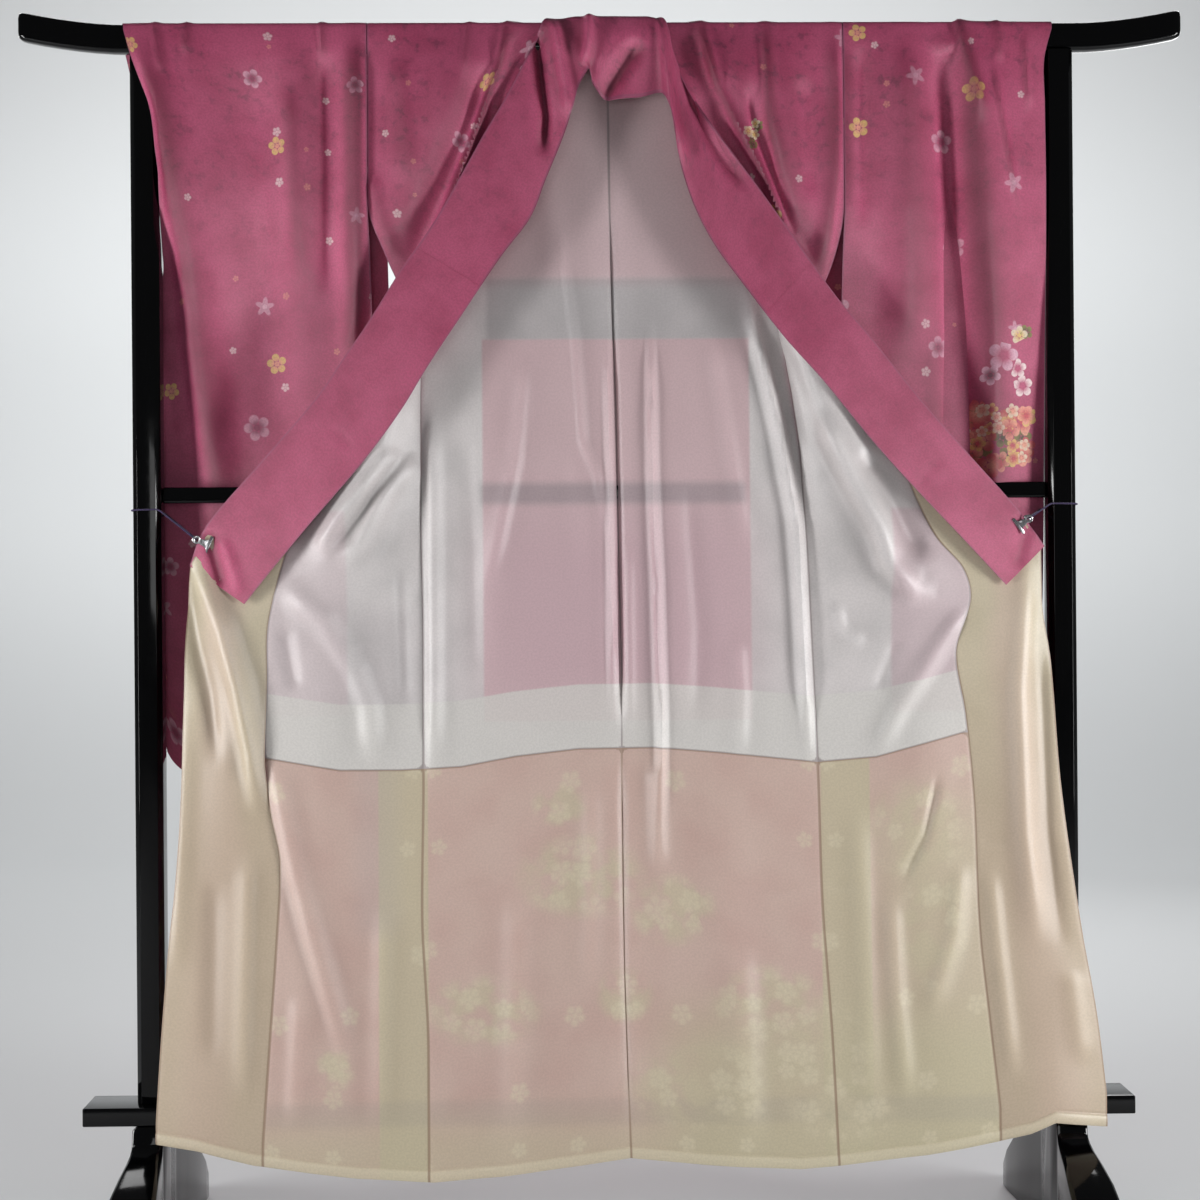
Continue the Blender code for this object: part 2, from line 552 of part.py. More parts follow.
def add_loft(name, rings, material):
    """A solid through rings of equal count, closed at both ends."""
    mesh = bpy.data.meshes.new(name)
    shape = bmesh.new()
    made = [[shape.verts.new(np.array(place) * CM) for place in ring] for ring in rings]
    count = len(rings[0])
    for near, far in zip(made, made[1:]):
        for i in range(count):
            j = (i + 1) % count
            shape.faces.new((near[i], near[j], far[j], far[i]))
    shape.faces.new(made[0][::-1])
    shape.faces.new(made[-1])
    bmesh.ops.recalc_face_normals(shape, faces=shape.faces)
    shape.to_mesh(mesh)
    shape.free()
    return add_object(name, mesh, material)


def add_box(name, low, high, bevel, material):
    shape = bmesh.new()
    bmesh.ops.create_cube(shape, size=1)
    low, high = np.array(low) * CM, np.array(high) * CM
    for vertex in shape.verts:
        vertex.co = (low + high) / 2 + np.array(vertex.co) * (high - low)
    mesh = bpy.data.meshes.new(name)
    shape.to_mesh(mesh)
    shape.free()
    made = add_object(name, mesh, material)
    rounded = made.modifiers.new("Edges", "BEVEL")
    rounded.width = bevel * CM
    rounded.segments = 2
    return made


def rounded_ring(half_wide, half_tall, radius, steps=2):
    """Points round a rounded rectangle, as pairs."""
    ring = []
    for quarter, (sx, sy) in enumerate(((1, 1), (-1, 1), (-1, -1), (1, -1))):
        for step in range(steps + 1):
            angle = math.pi / 2 * (quarter + step / steps)
            ring.append((
                sx * (half_wide - radius) + radius * math.cos(angle),
                sy * (half_tall - radius) + radius * math.sin(angle),
            ))
    return ring


# ---------------------------------------------------------------- the stand

def add_top_rail(material):
    stations = [-83.5, -82.9, -80, -76, -72, -68.5, -33.7, 0, 33.7, 68.5, 72, 76, 80, 82.9, 83.5]
    rings = []
    for x in stations:
        out = max(0.0, abs(x) - RAIL_UPTURN_FROM) / (RAIL_HALF_LENGTH - RAIL_UPTURN_FROM)
        rise = RAIL_UPTURN * out ** 1.7
        shrink = 0.35 if abs(x) == RAIL_HALF_LENGTH else 0.0
        ring = rounded_ring(RAIL_DEEP / 2 - shrink, RAIL_TALL / 2 - shrink, 0.75)
        middle = RAIL_TOP - RAIL_TALL / 2 + rise
        rings.append([(x, y, middle + z) for y, z in ring])
    add_loft("top_rail", rings, material)


def add_post(name, x, material):
    half = POST_WIDE / 2
    low = RAIL_TOP - PLANK_DROPS[0] + JOINT_GAP
    high = RAIL_TOP - RAIL_TALL - JOINT_GAP
    ring = rounded_ring(half, half, POST_CHAMFER, steps=2)
    add_loft(name, [[(x + a, b, z) for a, b in ring] for z in (low, high)], material)


def add_foot(name, x, material):
    """A foot that runs front to back under its post, arched down to wider ends."""
    top = RAIL_TOP - PLANK_DROPS[1] - JOINT_GAP
    # y, height of the top, half width
    stations = [
        (0.0, top, 2.2), (4.2, top, 2.2), (4.8, top - 2.4, 2.2), (5.6, top - 3.2, 2.3),
        (7.5, top - 4.0, 2.5), (11.0, top - 5.0, 2.8), (15.0, top - 6.6, 3.2), (19.0, top - 8.8, 3.4),
        (22.5, top - 11.4, 3.6), (25.0, top - 14.0, 3.6), (26.2, top - 16.2, 3.4),
    ]
    rings = []
    for y, height, half in [(-s[0], s[1], s[2]) for s in stations[:0:-1]] + stations:
        arch = 1.2 * (1 - smooth(10.0, 14.0, abs(y)))
        edge = 0.5
        rings.append([
            (x - half, y, arch), (x + half, y, arch), (x + half, y, height - edge),
            (x + half - edge, y, height), (x - half + edge, y, height),
            (x - half, y, height - edge),
        ])
    add_loft(name, rings, material)


def add_stand(material):
    add_top_rail(material)
    for side, x in (("right", -POST_X), ("left", POST_X)):
        add_post(f"post_{side}", x, material)
        add_foot(f"foot_{side}", x, material)
    half_mid = POST_X - POST_WIDE / 2 - JOINT_GAP
    add_box(
        "mid_rail",
        (-half_mid, -MID_RAIL_DEEP / 2, RAIL_TOP - MID_RAIL_DROPS[1]),
        (half_mid, MID_RAIL_DEEP / 2, RAIL_TOP - MID_RAIL_DROPS[0]),
        0.4, material,
    )
    add_box(
        "low_rail",
        (-PLANK_HALF_LENGTH, -PLANK_DEEP / 2, RAIL_TOP - PLANK_DROPS[1]),
        (PLANK_HALF_LENGTH, PLANK_DEEP / 2, RAIL_TOP - PLANK_DROPS[0]),
        0.2, material,
    )


# ---------------------------------------------------------------- clips and ties

def add_clip(name, side, drop, turn, material):
    """A closed clip over the collar's sewn edge: a strip bent to a U, with its bend outward."""
    x, y = collar_seam(side, drop)
    half_gap, wall = CLIP_GAP / 2, CLIP_WALL
    inner = [(-CLIP_LONG * 0.7, -1.0), (0.0, -1.0), (CLIP_LONG * 0.2, -0.8), (CLIP_LONG * 0.3, 0.0)]
    profile = []
    for a, b in inner + [(a, -b) for a, b in inner[-2::-1]]:
        profile.append((a, b * half_gap))
    for a, b in profile[::-1]:
        out = wall if a > 0 else 0.0
        profile.append((a + out, b + wall * (b > 0.01) - wall * (b < -0.01)))
    rings = []
    for across in (-CLIP_WIDE / 2, CLIP_WIDE / 2):
        ring = []
        for a, b in profile:
            along = a * math.cos(turn) - across * math.sin(turn)
            up = a * math.sin(turn) + across * math.cos(turn)
            ring.append((x + along, y + CLIP_SET_BACK + b + CLIP_TILT * a, RAIL_TOP - drop + up))
        rings.append(ring)
    add_loft(name, rings, material)


def add_tie(name, route, material):
    """A cord loop round a post and through a clip's eye."""
    curve = bpy.data.curves.new(name, "CURVE")
    curve.dimensions = "3D"
    curve.bevel_depth = CORD_RADIUS * CM
    curve.bevel_resolution = 1
    spline = curve.splines.new("POLY")
    spline.points.add(len(route) - 1)
    for point, place in zip(spline.points, route):
        point.co = (*(np.array(place) * CM), 1)
    spline.use_cyclic_u = True
    made = bpy.data.objects.new(name, curve)
    made.data.materials.append(material)
    PART.objects.link(made)


def tie_route(side, drop, turn):
    """A cord's way: through the clip's bend, and once round the post."""
    x, y = collar_seam(side, drop)
    s = sign(side)
    a = CLIP_LONG * 0.15
    ends = []
    for across in (1, -1):
        reach = s * across * (CLIP_WIDE / 2 + 0.35)
        along = a * math.cos(turn) - reach * math.sin(turn)
        up = a * math.sin(turn) + reach * math.cos(turn)
        ends.append((x + along, y + CLIP_SET_BACK, RAIL_TOP - drop + up))
    ends.sort(key=lambda end: end[2])
    low, high = ends
    level = RAIL_TOP - TIE_DROP
    half = POST_WIDE / 2 + CORD_RADIUS + 0.06
    cut = half - POST_CHAMFER * 0.6
    corners = [(-cut, -half), (cut, -half), (half, -cut), (half, cut), (cut, half), (-cut, half)]
    corners += [(-half, cut), (-half, -cut)]
    steps = [(s * (POST_X + cx), cy, level - 0.06 * k) for k, (cx, cy) in enumerate(corners)]
    return [low, high] + steps


def main():
    for old in list(bpy.data.objects):
        bpy.data.objects.remove(old)
    silk = new_material("pink_silk", (0.42, 0.10, 0.20), 0.45)
    lining = new_material("white_lining", (0.66, 0.60, 0.58), 0.45)
    skirt = new_material("cream_lining", (0.62, 0.54, 0.40), 0.5)
    lacquer = new_material("black_lacquer", (0.008, 0.008, 0.01), 0.12)
    steel = new_material("clip_steel", (0.62, 0.62, 0.64), 0.25, 1.0)
    cord = new_material("purple_cord", (0.05, 0.015, 0.08), 0.7)

    for side, label in (("R", "right"), ("L", "left")):
        body = body_points(side)
        add_cloth(f"body_{label}", body, OUTER_THICK, silk)
        okumi = okumi_points(side)
        add_cloth(f"okumi_{label}", okumi, OUTER_THICK, silk)
        add_cloth(f"sleeve_{label}", sleeve_points(side), OUTER_THICK, silk)

        fronts = len(FRONT_DROPS)
        seam_row = FRONT_DROPS.index(105)
        top_row = FRONT_DROPS.index(UPPER_LINING_TOP[side])
        back_start = fronts + len(RAIL_PATH)
        back_seam = back_start + BACK_DROPS.index(105)
        front_lining = moved_out(body[: top_row + 2], LINING_OFF)
        back_lining = moved_out(body[back_start:], LINING_OFF)
        pieces = [
            (f"upper_front_lining_{label}", front_lining[seam_row: top_row + 1], 0, lining),
            (f"lower_front_lining_{label}", front_lining[: seam_row + 1], -1, skirt),
            (f"upper_back_lining_{label}", back_lining[: back_seam - back_start + 1], -1, lining),
            (f"lower_back_lining_{label}", back_lining[back_seam - back_start:], 0, skirt),
        ]
        for name, points, seam_end, material in pieces:
            points = inset(points, LINING_INSET + 0.06)
            other = 1 if seam_end == 0 else -2
            way = points[other] - points[seam_end]
            length = np.linalg.norm(way, axis=1)[:, None]
            points[seam_end] += way / length * LINING_INSET * CM
            add_cloth(name, points, LINING_THICK, material)
        okumi_lining = inset(moved_out(okumi, LINING_OFF)[:-1], LINING_INSET + 0.06)
        add_cloth(f"okumi_lining_{label}", okumi_lining, LINING_THICK, skirt)

    last = len(COLLAR) - 1
    add_cloth("collar", collar_points(0, last, 2 * last + 1), COLLAR_THICK, silk)
    add_cloth("over_collar", over_collar_points(), OUTER_THICK, silk)
    add_stand(lacquer)
    for side, label, drop, turn in CLIPS:
        add_clip(f"clip_{label}", side, drop, math.radians(turn), steel)
        add_tie(f"tie_{label}", tie_route(side, drop, math.radians(turn)), cord)


PART = new_collection("silk_kimono")
main()
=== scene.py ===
import math

import bpy
import numpy as np
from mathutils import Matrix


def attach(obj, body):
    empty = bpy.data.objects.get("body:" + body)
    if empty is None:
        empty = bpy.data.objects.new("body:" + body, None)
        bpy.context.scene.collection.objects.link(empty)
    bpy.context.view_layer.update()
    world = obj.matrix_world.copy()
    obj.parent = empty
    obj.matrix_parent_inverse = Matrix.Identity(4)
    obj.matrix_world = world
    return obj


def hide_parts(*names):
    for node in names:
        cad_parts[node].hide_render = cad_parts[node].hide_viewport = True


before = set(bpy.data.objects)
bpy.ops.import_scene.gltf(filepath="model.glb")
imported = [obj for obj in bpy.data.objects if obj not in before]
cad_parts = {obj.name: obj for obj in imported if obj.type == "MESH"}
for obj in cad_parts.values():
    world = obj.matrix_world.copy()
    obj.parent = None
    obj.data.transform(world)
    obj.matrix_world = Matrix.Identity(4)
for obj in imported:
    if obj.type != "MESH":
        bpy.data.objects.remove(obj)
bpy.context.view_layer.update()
bpy.ops.object.select_all(action="DESELECT")

# Lengths in the tables are in centimetres: x to the viewer's right, y away from the viewer, and
# drop down from the top of the rail. "R" is the wearer's right, the viewer's left.
CM = 0.01

# Stand, in centimetres
RAIL_TOP = 175
RAIL_TALL = 4
RAIL_DEEP = 2.6
RAIL_HALF_LENGTH = 83.5
RAIL_UPTURN = 1.9
RAIL_UPTURN_FROM = 68.5
POST_X = 65.6
POST_WIDE = 4
POST_CHAMFER = 0.7
MID_RAIL_DROPS = (66.2, 68.5)
MID_RAIL_DEEP = 2
PLANK_DROPS = (154.2, 156.8)
PLANK_HALF_LENGTH = 74.9
PLANK_DEEP = 8
JOINT_GAP = 0.03

# Cloth, in centimetres. The first three are thicknesses, and TUCK is how far the panels go in under
# the collar.
OUTER, LINING, COLLAR_SHELL = 0.06, 0.05, 0.14
BETWEEN = 0.11
OVER_COLLAR_OFF = 0.14
TUCK = 0.3
SEAM_GAP = 0.01
SIDE_GAP = 0.02
SLEEVE_GAP = 0.25
RAIL_CLOTH_Y = RAIL_DEEP / 2 + 0.35
HEM_DROP = 165
LINING_SEAM_DROP = 105

# Over the rail, front to back: y, drop, and how far the neck edge has gone to the centre back
RAIL_PATH = [
    (-RAIL_CLOTH_Y, 1, 0), (-1.3, 0.05, 0.02), (-0.5, -0.16, 0.08), (0.5, -0.16, 0.4),
    (1.25, 0.05, 0.85), (RAIL_CLOTH_Y, 0.9, 1),
]
NECK_X = {"R": -8.4, "L": 8.6}

# Side seams: drop, x, y of the front's edge, y of the back's edge
SIDE = {"R": [
    (1, -33.7, -1.65, 1.65), (12, -33.7, -1.9, 1.3), (26, -33.7, -2.1, 0.9),
    (33.4, -31.3, -1.7, 0.2), (38.2, -29.2, -1.35, -0.45), (47, -26.5, -1.6, -0.8),
    (54, -26.6, -1.7, -1.05), (61, -26.6, -1.65, -1.3), (68.6, -26.6, -1.6, -1.5),
    (87, -26.3, -2.15, -2.15), (107, -26.4, -2.9, -2.9), (126, -26.7, -3.6, -3.6),
    (147, -25.9, -4.4, -4.4), (165, -25.9, -5.1, -5.1),
], "L": [
    (1, 34.4, -1.65, 1.65), (12, 34.4, -1.9, 1.3), (26, 34.4, -2.1, 0.9), (33.2, 33.2, -1.7, 0.2),
    (38, 31.4, -1.35, -0.45), (47, 25.9, -1.6, -0.8), (54, 26.9, -1.7, -1.05),
    (61, 27.8, -1.65, -1.3), (68.6, 28.3, -1.6, -1.5), (87, 29.1, -2.15, -2.15),
    (107, 29.9, -2.9, -2.9), (126, 30.3, -3.6, -3.6), (147, 31.5, -4.4, -4.4),
    (165, 32.2, -5.1, -5.1),
]}
# The two folds that run down each front: drop, x and y of the first, x and y of the second.
# The second turns back behind the collar at the top and comes out below it as a rolled fold.
FRONT_FOLDS = {"R": [
    (1, -15.2, -1.7, -11.4, -1.7), (5.5, -15.6, -2.6, -12.7, -1.9), (14, -18.3, -3.3, -14.6, -2.5),
    (20, -20.5, -3.4, -15, -2.8), (26, -22.5, -3.1, -16, -3), (33, -24, -2.5, -18.5, -3.2),
    (38, -24.6, -2.1, -20.5, -3.4), (43, -24.8, -2.1, -23.6, -3.7), (50, -26.5, -2.6, -27.2, -4.6),
    (56, -27.4, -2.9, -29.4, -5.2), (61, -28.4, -3, -31.2, -5.5), (68, -29.6, -3.1, -33.6, -5.6),
    (74, -30.8, -2.9, -35.6, -5.1), (79, -32.4, -2.8, -37.4, -4.5), (86, -33.6, -2.8, -39.5, -3.9),
    (96, -34, -2.9, -40.5, -3.8), (107, -34, -3.3, -41, -4.1), (126, -34, -3.9, -40.5, -4.5),
    (147, -34, -4.7, -41, -5.2), (165, -34, -5.3, -41, -5.8),
], "L": [
    (1, 14, -1.7, 11, -1.7), (5.5, 15.6, -2.6, 12, -1.9), (14, 19.5, -3.3, 13.6, -2.5),
    (20, 22.5, -3.4, 15.4, -2.8), (26, 24.6, -3.1, 17.4, -3), (33, 25.4, -2.5, 20, -3.2),
    (38, 25, -2.1, 21.6, -3.4), (43, 24.8, -2.1, 24, -3.7), (50, 26.3, -2.6, 27.6, -4.5),
    (56, 27.9, -2.9, 30.2, -4.9), (61, 29.2, -3, 32.8, -5.1), (68, 31.2, -3.1, 36.6, -5.2),
    (74, 33, -3, 39.8, -5), (79, 34.8, -2.9, 42, -4.5), (86, 36.8, -2.8, 44.2, -4),
    (96, 37.6, -2.9, 44.6, -3.8), (107, 38, -3.3, 45.2, -4.1), (126, 38.6, -3.9, 46, -4.5),
    (147, 40, -4.7, 47.4, -5.2), (165, 41, -5.3, 48.4, -5.8),
]}
# Seam between front and front overlap (okumi), from its upper point down: drop, x, y
OKUMI_SEAM = {"R": [
    (44.2, -34.2, -4.2), (55.5, -38.4, -3.9), (68.3, -43.1, -3.7), (80.2, -46.9, -3.7),
    (86, -48.2, -3.8), (94, -48.4, -3.8), (104.7, -48.8, -3.9), (112, -48, -4), (120, -46.6, -4.2),
    (132, -47.2, -4.5), (147, -48.2, -5), (162, -49.2, -5.6),
], "L": [
    (41.2, 34.1, -4.2), (50.4, 38.2, -3.9), (60.4, 41.2, -3.8), (67.1, 43.5, -3.8),
    (73.7, 46.7, -3.8), (79.5, 50.8, -3.9), (84, 51.8, -4), (92.9, 49.6, -4), (102, 50.9, -3.9),
    (113.8, 52, -4), (130, 52.5, -4.4), (146, 53.8, -5), (160.3, 55.1, -5.5),
]}
OKUMI_MIDDLE = {"R": [
    (49, -36.9, -4.35), (53, -38.7, -4.3), (60, -43, -4.1), (72, -50.6, -3.9), (78.5, -55, -4),
    (86, -54.6, -4.9), (97, -53, -4.9), (108, -52.4, -4.7), (125, -54.5, -4.7), (145, -55.8, -5.4),
    (162, -57, -6),
], "L": [
    (46, 37, -4.35), (54.7, 41.8, -4.3), (62, 46.4, -4.1), (70, 52, -3.9), (77, 56.6, -4),
    (88, 57.6, -4.9), (105, 58.6, -4.8), (125, 60, -4.8), (145, 61.8, -5.5), (162, 63, -6.4),
]}
# Front edge below the end of the collar: drop, x, y
FRONT_EDGE = {"R": [
    (77.8, -58.9, -3.9), (86.6, -59.8, -3.9), (93.8, -60, -3.9), (110.7, -60.5, -4.1),
    (125.2, -61.5, -4.4), (134.2, -62.4, -4.7), (146.8, -63.3, -5.1), (162, -64.2, -5.5),
], "L": [
    (76, 61.9, -3.9), (83.9, 61.9, -3.9), (94.8, 63.2, -3.9), (111.7, 64.4, -4.1),
    (128, 66.4, -4.5), (137.8, 67.8, -4.8), (146, 68.9, -5.1), (160, 70.3, -5.5),
]}
# Centre back seam: drop, x, y
CENTRE_BACK = [
    (1, 0.6, 1.65), (12, 0.7, 1.3), (26, 0.8, 0.7), (40, 1, 0), (54, 1.5, -0.8), (68, 1.6, -1.5),
    (80, 1.7, -1.9), (94, 2, -2.4), (111, 1.8, -3), (137, 2, -4), (151, 2.3, -4.55),
    (165, 2.7, -5.1),
]
# Broad folds of a hanging panel: x and drop where one starts and ends, half width, how far forward
BACK_FOLDS = {
    "R": [(-7.5, 25, -3, 75, 2.2, 0.45), (-14.5, 60, -18, 90, 2.4, 0.35),
      (-12, 120, -14, 165, 4, 0.5)],
    "L": [(6, 50, 8, 120, 2.4, 0.45), (22, 52, 26, 66, 2, 0.3),
      (17, 115, 18, 165, 4, 0.5)],
}
SLEEVE_FOLDS = {
    "R": [(-60, 2, -56, 34, 2.6, 0.5), (-44, 4, -43, 60, 3.5, 0.5)],
    "L": [(49.5, 1, 56, 48, 2.3, 0.9), (41, 6, 42, 60, 3.5, 0.5)],
}
# Drop of the hem and of the seam across the lining, by x
HEM_LINE = [
    (-64.2, 158.9), (-58.4, 159.8), (-50.5, 162), (-36, 164.1), (-25.3, 164.9), (-15.5, 164.1),
    (-4.6, 162.8), (2.6, 161.8), (13.4, 162.9), (26.7, 163.7), (32.1, 163.3), (44.8, 161.8),
    (54.9, 160), (59.3, 158.9), (62.8, 157.3), (70.1, 158.1),
]
LINING_SEAM_LINE = [
    (-48.9, 104.8), (-38.2, 106.7), (-29.7, 106.8), (-21, 106.4), (-13.3, 105), (-4.2, 104),
    (6.7, 103.9), (15.8, 104.7), (29.8, 106.2), (38.2, 105.5), (50.5, 102.1),
]
# Sleeve edges: drop, x, y of the front layer, y of the back layer
SLEEVE_INNER = {"R": [
    (1, -33.8, -1.65, 1.65), (12, -33.8, -1.9, 1.3), (26, -33.8, -2.1, 0.9), (32, -33.6, -1.4, 1.5),
    (38, -33.5, -0.5, 2.1), (46, -33.4, 0.5, 2.5), (56, -33.4, 1.2, 2.8), (67, -33.3, 1.5, 3),
    (90, -33.3, 1.9, 3.2), (108, -33.3, 2.7, 2.9),
], "L": [
    (1, 34.5, -1.65, 1.65), (12, 34.5, -1.9, 1.3), (26, 34.5, -2.1, 0.9), (32, 34.3, -1.4, 1.5),
    (38, 34.2, -0.5, 2.1), (46, 34.1, 0.5, 2.5), (56, 34.1, 1.2, 2.8), (67, 34, 1.5, 3),
    (90, 34, 1.9, 3.2), (108, 34, 2.7, 2.9),
]}
# Wrist side: drop, x and y of the front layer, and how far in x and y the back layer is from it.
# The wrist is open above a drop of 28, and there the right sleeve has its post between its layers.
SLEEVE_OUTER = {"R": [
    (1, -68.4, -1.65, -1, 3.3), (5, -67.2, -2.3, -1.4, 4.7), (8.5, -65.9, -2.4, -1.9, 5),
    (11.5, -64.8, -2.4, -2, 5), (18, -63.9, -2.4, -0.9, 5), (22, -63.52, -2.1, -0.1, 4.6),
    (25, -63.52, -1.6, 0, 2.4), (28, -63.52, -0.8, 0, 0.3), (32, -63.52, 0.6, 0, 0),
    (35, -63.54, 1.35, 0, 0), (36.5, -63.8, 1.75, 0, 0), (40, -64.3, 2.6, 0, 0),
    (48, -64.4, 2.9, 0, 0), (60, -64.4, 3, 0, 0), (108, -64.2, 2.8, 0, 0),
], "L": [
    (1, 64.6, -1.65, 0.4, 3.3), (5, 63.5, -1.9, 0, 3.8), (12, 63.45, -2, 0, 3.8),
    (18, 63.5, -2, 0, 3.2), (24, 63.55, -1.9, 0, 1.7), (28, 63.55, -1.8, 0, 0.9),
    (32, 63.55, -1.6, 0, 0.4), (40, 63.55, -1, 0, 0), (52, 63.55, -0.1, 0, 0),
    (60, 63.55, 0.5, 0, 0), (90, 63.2, 1.4, 0, 0), (108, 62.8, 2.8, 0, 0),
]}
SLEEVE_ROUND = 6
SLEEVE_BACK_REACH = {"R": 2.3, "L": 3}

# Collar, from its end on the wearer's right round the neck to the other end: x, drop and y of the
# edge sewn to the neck, the same of the free edge, how far its middle stands forward, and how far
# the row goes over the rail (0 hangs in front, 1 goes over the top).
COLLAR = [
    (-59.1, 77.5, -4.5, -51.3, 83, -5.2, 0.2, 0), (-56.5, 71.7, -4.7, -47.7, 78.6, -5.6, 0.3, 0),
    (-48.9, 63, -4.8, -42, 71.9, -6.2, 0.2, 0), (-41.1, 54.1, -5, -34.6, 63.4, -6.4, 0.1, 0),
    (-37.2, 48.5, -5, -29.1, 56.1, -6.4, 0.1, 0), (-33.4, 43, -4.9, -25.1, 49.6, -6.2, 0.1, 0),
    (-29.1, 36.1, -4.6, -20.4, 42.5, -5.6, 0.1, 0), (-24.3, 29.2, -4.3, -14.9, 34.3, -5.1, 0.1, 0),
    (-20.6, 22.8, -4.1, -10.6, 28.6, -4.7, 0.1, 0), (-17, 16.3, -3.7, -8.3, 23, -4.5, 0, 0),
    (-14.2, 11.5, -3.1, -6, 17.5, -4.4, -0.1, 0), (-12.1, 7.5, -2.6, -4.6, 13.4, -4.2, -0.2, 0),
    (-10.4, 4, -2.1, -3.6, 9.8, -4, -0.2, 0), (-9.2, 1.4, -2.1, -2.4, 7.6, -3.9, 0, 0),
    (-8.5, -0.2, -1.75, -2.1, 7.2, -3.8, 0.2, 0.4), (-7.4, -0.6, -0.5, -1.8, 7.8, -3.6, 0.2, 0.8),
    (-4.6, -0.6, 0.7, -1.3, 9.6, -3.3, 0, 1), (0.6, -0.5, 1.2, 0.8, 11.3, -3.2, 0, 1),
    (5.6, -0.6, 0.7, 5, 11.2, -3.3, 0, 1), (7.6, -0.6, -0.5, 7.8, 10.6, -3.4, 0.2, 0.9),
    (8.7, -0.2, -1.75, 8.6, 11, -3.7, 0.2, 0.4), (9.4, 1.4, -2.1, 9.2, 12.4, -4, 0, 0),
    (9.9, 4, -2.1, 9.8, 15, -4.2, -0.5, 0), (12.1, 9.6, -2.8, 10.6, 20, -4.4, -0.4, 0),
    (16, 15.9, -3.6, 12.6, 26.6, -4.5, -0.1, 0), (20.8, 22.7, -4.1, 15.6, 32.6, -4.8, 0.1, 0),
    (26.2, 30.4, -4.4, 20, 38.8, -5.3, 0.1, 0), (32.4, 39.4, -4.8, 25.4, 46, -6, 0.1, 0),
    (38.2, 46.5, -5, 31, 52.4, -6.3, 0.1, 0), (44.7, 54.7, -5, 37.6, 60.6, -6.3, 0.1, 0),
    (50.7, 61.6, -4.9, 43.4, 67.1, -6.1, 0.1, 0), (58.6, 70.5, -4.7, 50.5, 74.6, -5.8, 0.2, 0),
    (62.3, 75.6, -4.5, 56.6, 81.1, -5.3, 0.2, 0),
]
OVER_COLLAR_ROWS = (6.5, 26.5)
# The rows between which the collar is at the neck
COLLAR_NECK = (14, 21)

# ---------------------------------------------------------------- creases
# Each is how far forward it stands, its width to the left and to the right, and its path in x and
# drop.

BACK_CREASES = [
    (0.56, 0.5, 0.5, [(0, 44), (0.5, 65), (0.6, 104)]),
    (-0.72, 0.5, 0.5, [(0.9, 22), (1.3, 50), (1.8, 80), (1.9, 106)]),
    (-0.48, 0.5, 0.5, [(1.9, 104), (2, 137), (2.6, 165)]),
    (0.4, 0.5, 0.9, [(3, 74), (3, 104)]),
    (0.8, 0.5, 0.6, [(6.5, 40), (6.5, 65), (7, 80), (7.5, 104), (7, 120)]),
    (0.48, 0.5, 0.9, [(-6.5, 30), (-4.5, 45), (-3.5, 60), (-1.5, 65), (0, 74)]),
    (0.48, 1.3, 1, [(-11.5, 47), (-13, 63), (-15.5, 74), (-17.5, 81)]),
    (0.4, 1.2, 1.2, [(15, 44), (18, 63), (20, 76)]),
    (1.44, 1, 0.7, [(20.5, 38), (22, 46), (25, 59), (27.2, 72), (28, 85), (28.6, 106)]),
    (0.96, 0.6, 1.6, [(-25, 54), (-25, 68), (-25, 88), (-25.2, 108)]),
    (-0.4, 1.5, 1.5, [(-20.5, 57), (-19.5, 77), (-19, 97)]),
    (-0.48, 1.5, 2, [(12, 65), (13.5, 88), (13, 103)]),
    (0.4, 1.2, 1.2, [(18.5, 88), (19, 97), (18.5, 106)]),
    (0.48, 1.5, 1.5, [(-2.5, 108), (-2.5, 125), (-3, 141)]),
    (0.56, 1.2, 1.2, [(6.5, 107), (7, 123)]),
    (-0.19, 0.4, 0.4, [(-23.5, 123), (-16, 122.5)]),
    (-0.19, 0.4, 0.4, [(16.5, 123.5), (27.5, 124.5)]),
    (0.48, 2, 2, [(-13, 125), (-14, 161)]),
    (0.48, 2, 2, [(18.5, 133), (20, 163)]),
]
